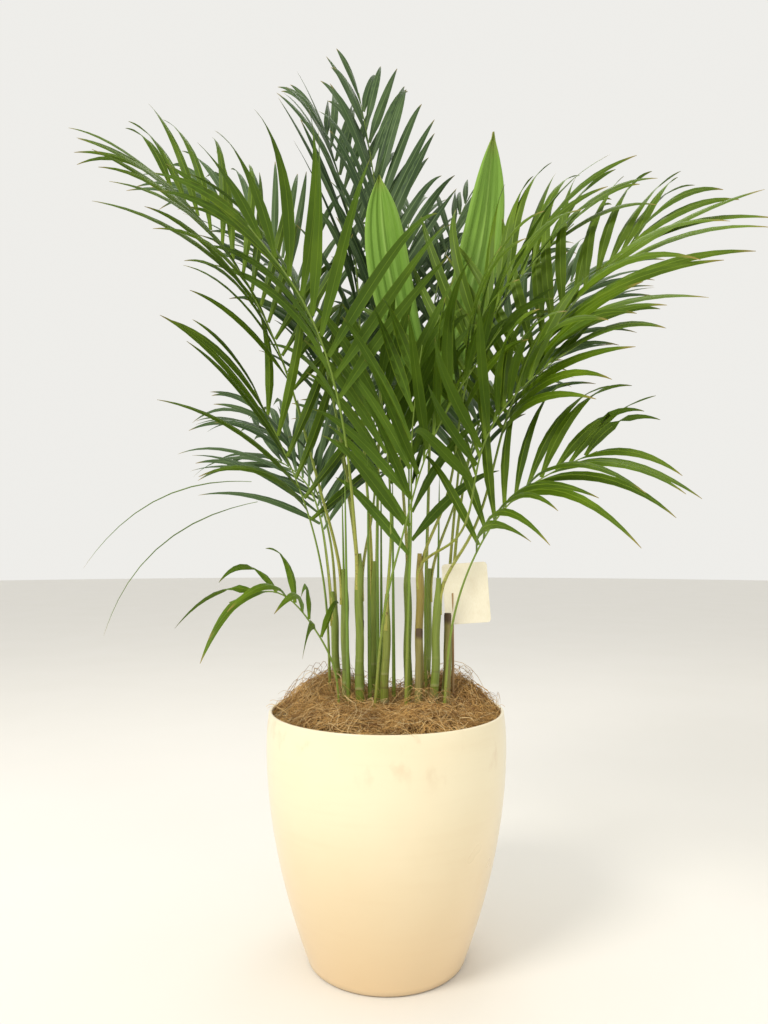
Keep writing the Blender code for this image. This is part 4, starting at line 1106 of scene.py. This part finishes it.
def drill_drains(pot):
    """Cuts the ring of drain holes through the pot's floor."""
    cutters = []
    for number in range(DRAIN_COUNT):
        turn = math.tau * (number + 0.5) / DRAIN_COUNT
        middle = np.array((math.cos(turn), math.sin(turn), 0.0)) * DRAIN_RING_RADIUS
        line = middle + UP * np.linspace(-POT_FLOOR / 2, 1.5 * POT_FLOOR, 2)[:, None]
        hole = Surface()
        hole.strands(tubes(line[None], np.full((1, 2), DRAIN_RADIUS), 32), [0.0])
        mesh = bpy.data.meshes.new("drain_cutter")
        mesh.from_pydata(np.concatenate(hole.points).tolist(), [], hole.faces)
        cutter = placed("drain_cutter", mesh)
        cut = pot.modifiers.new("drain", "BOOLEAN")
        cut.object = cutter
        cut.solver = "EXACT"
        cutters.append(cutter)
    bpy.context.view_layer.update()
    evaluated = pot.evaluated_get(bpy.context.evaluated_depsgraph_get())
    drilled = bpy.data.meshes.new_from_object(evaluated)
    pot.modifiers.clear()
    pot.data = drilled
    for cutter in cutters:
        bpy.data.objects.remove(cutter, do_unlink=True)


def pot_inside(height):
    """Inner radius of the pot at a height."""
    return float(pot_radius(np.array(height))) - POT_WALL


def mat_height(x, y):
    """Top of the fibre mat above its edge: a low dome, two bells at the back, and ripples."""
    radius = pot_inside(MULCH_EDGE)
    dome = np.clip(1 - (x * x + y * y) / radius ** 2, 0, 1)
    back = np.exp(-((x - 0.075) ** 2 + (y - 0.060) ** 2) / 0.045 ** 2)
    left = np.exp(-((x + 0.060) ** 2 + (y - 0.040) ** 2) / 0.050 ** 2)
    ripple = 0.12 * np.sin(55 * x + 1.3) * np.cos(48 * y + 0.4)
    return MULCH_MOUND * (0.55 * dome ** 0.7 + 0.8 * back + 0.7 * left + ripple * dome)


def clump_height(x, y):
    """Heaps in the loose fibre over the mat: a bell at each place where it was pushed up."""
    heap = np.zeros(np.broadcast(x, y).shape)
    for middle_x, middle_y, reach, height in CLUMPS:
        heap = heap + height * np.exp(-(((x - middle_x) ** 2 + (y - middle_y) ** 2) / reach ** 2) ** 1.5)
    return heap


def make_mat(finish):
    """The matted bed: a disc raised by the mat's height, its heaps and small lumps, shut below."""
    edge = pot_inside(MULCH_EDGE) - MULCH_EDGE_GAP
    share = np.concatenate([(0.003,), np.linspace(0.03, 0.96, 44), (0.985, 1.0)])[::-1]
    ring = circle(MAT_SIDES)
    x = edge * share[:, None] * ring[:, 0]
    y = edge * share[:, None] * ring[:, 1]
    lump = 0.0022 * np.sin(310 * x + 2 * np.sin(170 * y)) * np.sin(290 * y + 2 * np.sin(190 * x))
    soft = smooth_step(share, 1.0, 0.93)[:, None]
    heap = 0.75 * clump_height(x, y)
    top = MULCH_EDGE - MAT_EDGE_DIP + (mat_height(x, y) + heap + lump + MAT_EDGE_DIP) * soft
    upper = np.stack([x, y, top], axis=-1)
    bottom_radius = pot_inside(SOIL_TOP) - MULCH_EDGE_GAP
    lower = [radius * ring + UP * (SOIL_TOP + MAT_LIFT) for radius in (0.002, bottom_radius)]
    rings = np.concatenate([np.stack(lower), upper])[None]
    skin("fibre_bed", ["coir_mulch"], finish, rings, [0.0], crease=80)


def curled_strands(draw, count, centre, radius, length, lift, curl=1.0):
    """Centre lines of loose fibres on the mat, each a curve whose heading wavers as it goes.

    Heading = start + bend * share + waver * sin(rate * share + phase); the place is the sum of
    unit steps along it; height = mat height + an arc of its own lift + a small offset.
    """
    share = np.linspace(0, 1, FIBRE_STATIONS)[None, :]
    each = (count, 1)
    way = draw.uniform(0, math.tau, each)
    spread = radius * np.sqrt(draw.uniform(0, 1, each))
    heading = draw.uniform(0, math.tau, each) + curl * draw.normal(0, 1.6, each) * share
    waver = curl * draw.uniform(0.2, 1.1, each)
    heading = heading + waver * np.sin(draw.uniform(3, 9, each) * share + draw.uniform(0, math.tau, each))
    step = length * draw.uniform(0.5, 1.3, each) / (FIBRE_STATIONS - 1)
    x = centre[0] + spread * np.cos(way) + np.cumsum(np.cos(heading), axis=1) * step
    y = centre[1] + spread * np.sin(way) + np.cumsum(np.sin(heading), axis=1) * step
    far = np.hypot(x, y)
    inside = np.minimum(1, (pot_inside(MULCH_EDGE) - MULCH_EDGE_GAP / 2) / far)
    x, y = x * inside, y * inside
    arc = np.sin(math.pi * share) * lift * draw.uniform(0, 1, each)
    lie = draw.uniform(0.0002, 0.0040, each) + 0.0015 * np.sin(share * 11 + heading)
    z = MULCH_EDGE + mat_height(x, y) + clump_height(x, y) + arc + lie
    return np.stack([x, y, z], axis=-1)


def fibre_piece(name, lines, draw, thickness, finish):
    """Three-cornered strands on those centre lines, thinner at both ends."""
    count = len(lines)
    taper = 0.45 + 0.55 * np.sin(math.pi * np.linspace(0.08, 0.92, lines.shape[1]))
    radii = thickness * draw.uniform(0.6, 1.3, (count, 1)) * taper
    rings = tubes(lines, radii, 3, (0.13, 0.07, 1.0))
    skin(name, [], finish, rings, draw.beta(1.6, 1.8, count), crease=180)


def make_fibres(finish):
    """Four sets of coconut fibre: the mat's cover, its tufts, loops, and strays over the rim."""
    draw = np.random.default_rng(SHAPES + 400)
    cover = curled_strands(draw, 2900, (0.0, 0.0), 0.136, 0.050, 0.004)
    fibre_piece("fibre_cover", cover, draw, 0.00042, finish)
    tufts = [curled_strands(draw, *tuft) for tuft in TUFTS]
    fibre_piece("fibre_tufts", np.concatenate(tufts), draw, 0.00036, finish)
    loops = curled_strands(draw, 420, (0.0, 0.0), 0.120, 0.075, 0.030, curl=1.4)
    fibre_piece("fibre_loops", loops, draw, 0.00028, finish)
    fibre_piece("fibre_strays", stray_lines(draw), draw, 0.00030, finish)


def stray_lines(draw):
    """Centre lines of the strays: out from the mat, over the rim, and down past it.

    Height = start + rise * sin(0.75 * pi * share) + a slow climb - fall * distance past the rim.
    """
    each = (STRAYS, 1)
    way = draw.uniform(0, math.tau, each)
    share = np.linspace(0, 1, FIBRE_STATIONS)[None, :]
    reach = draw.uniform(0.016, 0.036, each)
    out = POT_RIM_RADIUS - 0.030 + reach * share
    turn = way + draw.uniform(-0.35, 0.35, each) * share + 0.03 * np.sin(share * 9 + way)
    rise = draw.uniform(0.004, 0.020, each)
    fall = np.clip(out - POT_RIM_RADIUS, 0, 1) * draw.uniform(0.2, 1.6, each)
    z = POT_HEIGHT - 0.006 + rise * np.sin(0.75 * math.pi * share) + 0.008 * share - fall
    return np.stack([out * np.cos(turn), out * np.sin(turn), z], axis=-1)


def make_card(finish):
    """Blank card: a thin sheet bowed by a fraction of its width, its corners rounded.

    Across is from -1 to 1 and narrows near the top and bottom edges by a quarter circle.
    """
    low, high = (np.array(corner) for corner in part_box("tag_card"))
    solid = corners_of("tag_card")
    middle = (low + high) / 2
    up = unit(np.array((-math.sin(CARD_TILT), 0.0, math.cos(CARD_TILT))))
    right = unit(np.array((math.cos(CARD_TILT), 0.0, math.sin(CARD_TILT))))
    half_width = np.abs((solid - middle) @ right).max()
    half_height = np.abs((solid - middle) @ up).max()
    height = np.sin(np.linspace(-math.pi / 2, math.pi / 2, 15)) * half_height
    past = np.clip(np.abs(height) - half_height + CARD_CORNER, 0, CARD_CORNER)
    width = half_width - CARD_CORNER + np.sqrt(CARD_CORNER ** 2 - past ** 2)
    across = np.linspace(1, -1, 13)[None, :]
    bow = -0.0022 * (1 - across ** 2) + 0.0012 * (height[:, None] / half_height) ** 2
    face = np.cross(right, up)
    front = middle + up * height[:, None, None] + right * (width[:, None] * across)[..., None]
    front = front + face * bow[..., None]
    back = front - face * CARD_SHEET
    rings = np.concatenate([front, back[:, ::-1]], axis=1)[None]
    skin("blank_card", ["tag_card"], finish, rings, [0.0], crease=30)


# ---------------------------------------------------------------- studio

def make_floor(finish):
    """A wide flat disc: rings of corners at growing radii."""
    points = np.array((0.01, 1.0, 4.0, 14.0))[:, None, None] * circle(FLOOR_SIDES) - UP * FLOOR_DROP
    number = np.arange(points[..., 0].size).reshape(points.shape[:2])
    after = np.roll(number, -1, axis=1)
    quads = np.stack([number[:-1], number[1:], after[1:], after[:-1]], axis=-1).reshape(-1, 4)
    mesh = bpy.data.meshes.new("studio_floor")
    mesh.from_pydata(points.reshape(-1, 3).tolist(), [], quads.tolist() + [number[0].tolist()])
    mesh.materials.append(finish)
    placed("studio_floor", mesh)


def make_lamp(name, where, aim, size, power, colour):
    """A round soft lamp, aimed at a point."""
    light = bpy.data.lights.new(name, "AREA")
    light.shape = "DISK"
    light.size = size
    light.energy = power
    light.color = colour
    lamp = placed(name, light)
    lamp.location = where
    lamp.rotation_euler = (Vector(aim) - lamp.location).to_track_quat("-Z", "Y").to_euler()


def make_studio():
    """Floor, pale surroundings, three lamps, and the camera."""
    make_floor(floor_finish())
    world = bpy.data.worlds.new("studio_air")
    world.use_nodes = True
    air = world.node_tree.nodes["Background"]
    air.inputs["Color"].default_value = (1.0, 0.99, 0.955, 1.0)
    air.inputs["Strength"].default_value = 0.86
    bpy.context.scene.world = world
    make_lamp("key_light", (-1.5, -1.6, 2.3), (0.0, 0.0, 0.6), 1.0, 48.0, (1.0, 0.96, 0.88))
    make_lamp("fill_light", (1.8, -1.4, 1.2), (0.0, 0.0, 0.5), 1.6, 5.0, (1.0, 0.95, 0.86))
    make_lamp("top_light", (0.3, 0.9, 2.6), (0.0, 0.0, 0.7), 1.0, 12.0, (1.0, 0.98, 0.94))
    camera = bpy.data.cameras.new("camera")
    camera.sensor_width = 36.0
    camera.lens = CAMERA_LENS
    camera.clip_start = 0.02
    eye = placed("camera", camera)
    eye.location = CAMERA_PLACE
    eye.rotation_euler = (CAMERA_TILT, 0.0, 0.0)
    bpy.context.scene.camera = eye
    bpy.context.scene.view_settings.view_transform = "Standard"


def main():
    """Every piece, the studio, and the two boxes that show how well the looks keep to the solids."""
    finishes = {
        "front": leaf_finish("front_blade", (0.009, 0.030, 0.0005), (0.066, 0.132, 0.002),
                             (0.215, 0.33, 0.014), (0.185, 0.285, 0.022), (0.070, 0.140, 0.007)),
        # back: the leaf colours again, darker and greyer, as painted shade for the fronds behind.
        "back": leaf_finish("back_blade", (0.016, 0.040, 0.013), (0.056, 0.105, 0.032), (0.13, 0.205, 0.070),
                            (0.155, 0.235, 0.080), (0.085, 0.140, 0.048)),
        "young": leaf_finish("young_blade", (0.080, 0.185, 0.012), (0.150, 0.300, 0.030), (0.31, 0.47, 0.085),
                             (0.31, 0.46, 0.11), (0.20, 0.36, 0.055)),
        "stalk": stalk_finish("petiole_skin", (0.38, 0.36, 0.070), (0.17, 0.26, 0.026), (0.11, 0.060, 0.022)),
        "cane": cane_finish(),
        "stub": stub_finish(),
        "spear": stalk_finish("spear_skin", (0.30, 0.33, 0.050), (0.15, 0.25, 0.022), (0.11, 0.060, 0.022)),
    }
    make_young_leaf(finishes)
    for number, frond in enumerate(FRONDS[1:], start=1):
        make_frond(number, frond, finishes)
    hanging_threads(finishes)
    for number, name in enumerate(CANES):
        make_cane(number, name, CANE_TONES[name], finishes)
    for number, name in enumerate(STUBS):
        make_stub(number, name, finishes)
    for number, name in enumerate(SPEARS):
        make_spear(number, name, finishes)
    make_pot(glaze_finish())
    make_mat(bed_finish())
    make_fibres(strand_finish("coconut_fibre", (0.20, 0.095, 0.028), (0.74, 0.45, 0.15),
                              (0.95, 0.74, 0.39)))
    make_card(card_finish())
    for name, finish in (("potting_soil", soil_finish()), ("tag_stake", stake_finish())):
        materials = NODES[name].data.materials
        materials.clear()
        materials.append(finish)
    make_studio()


main()
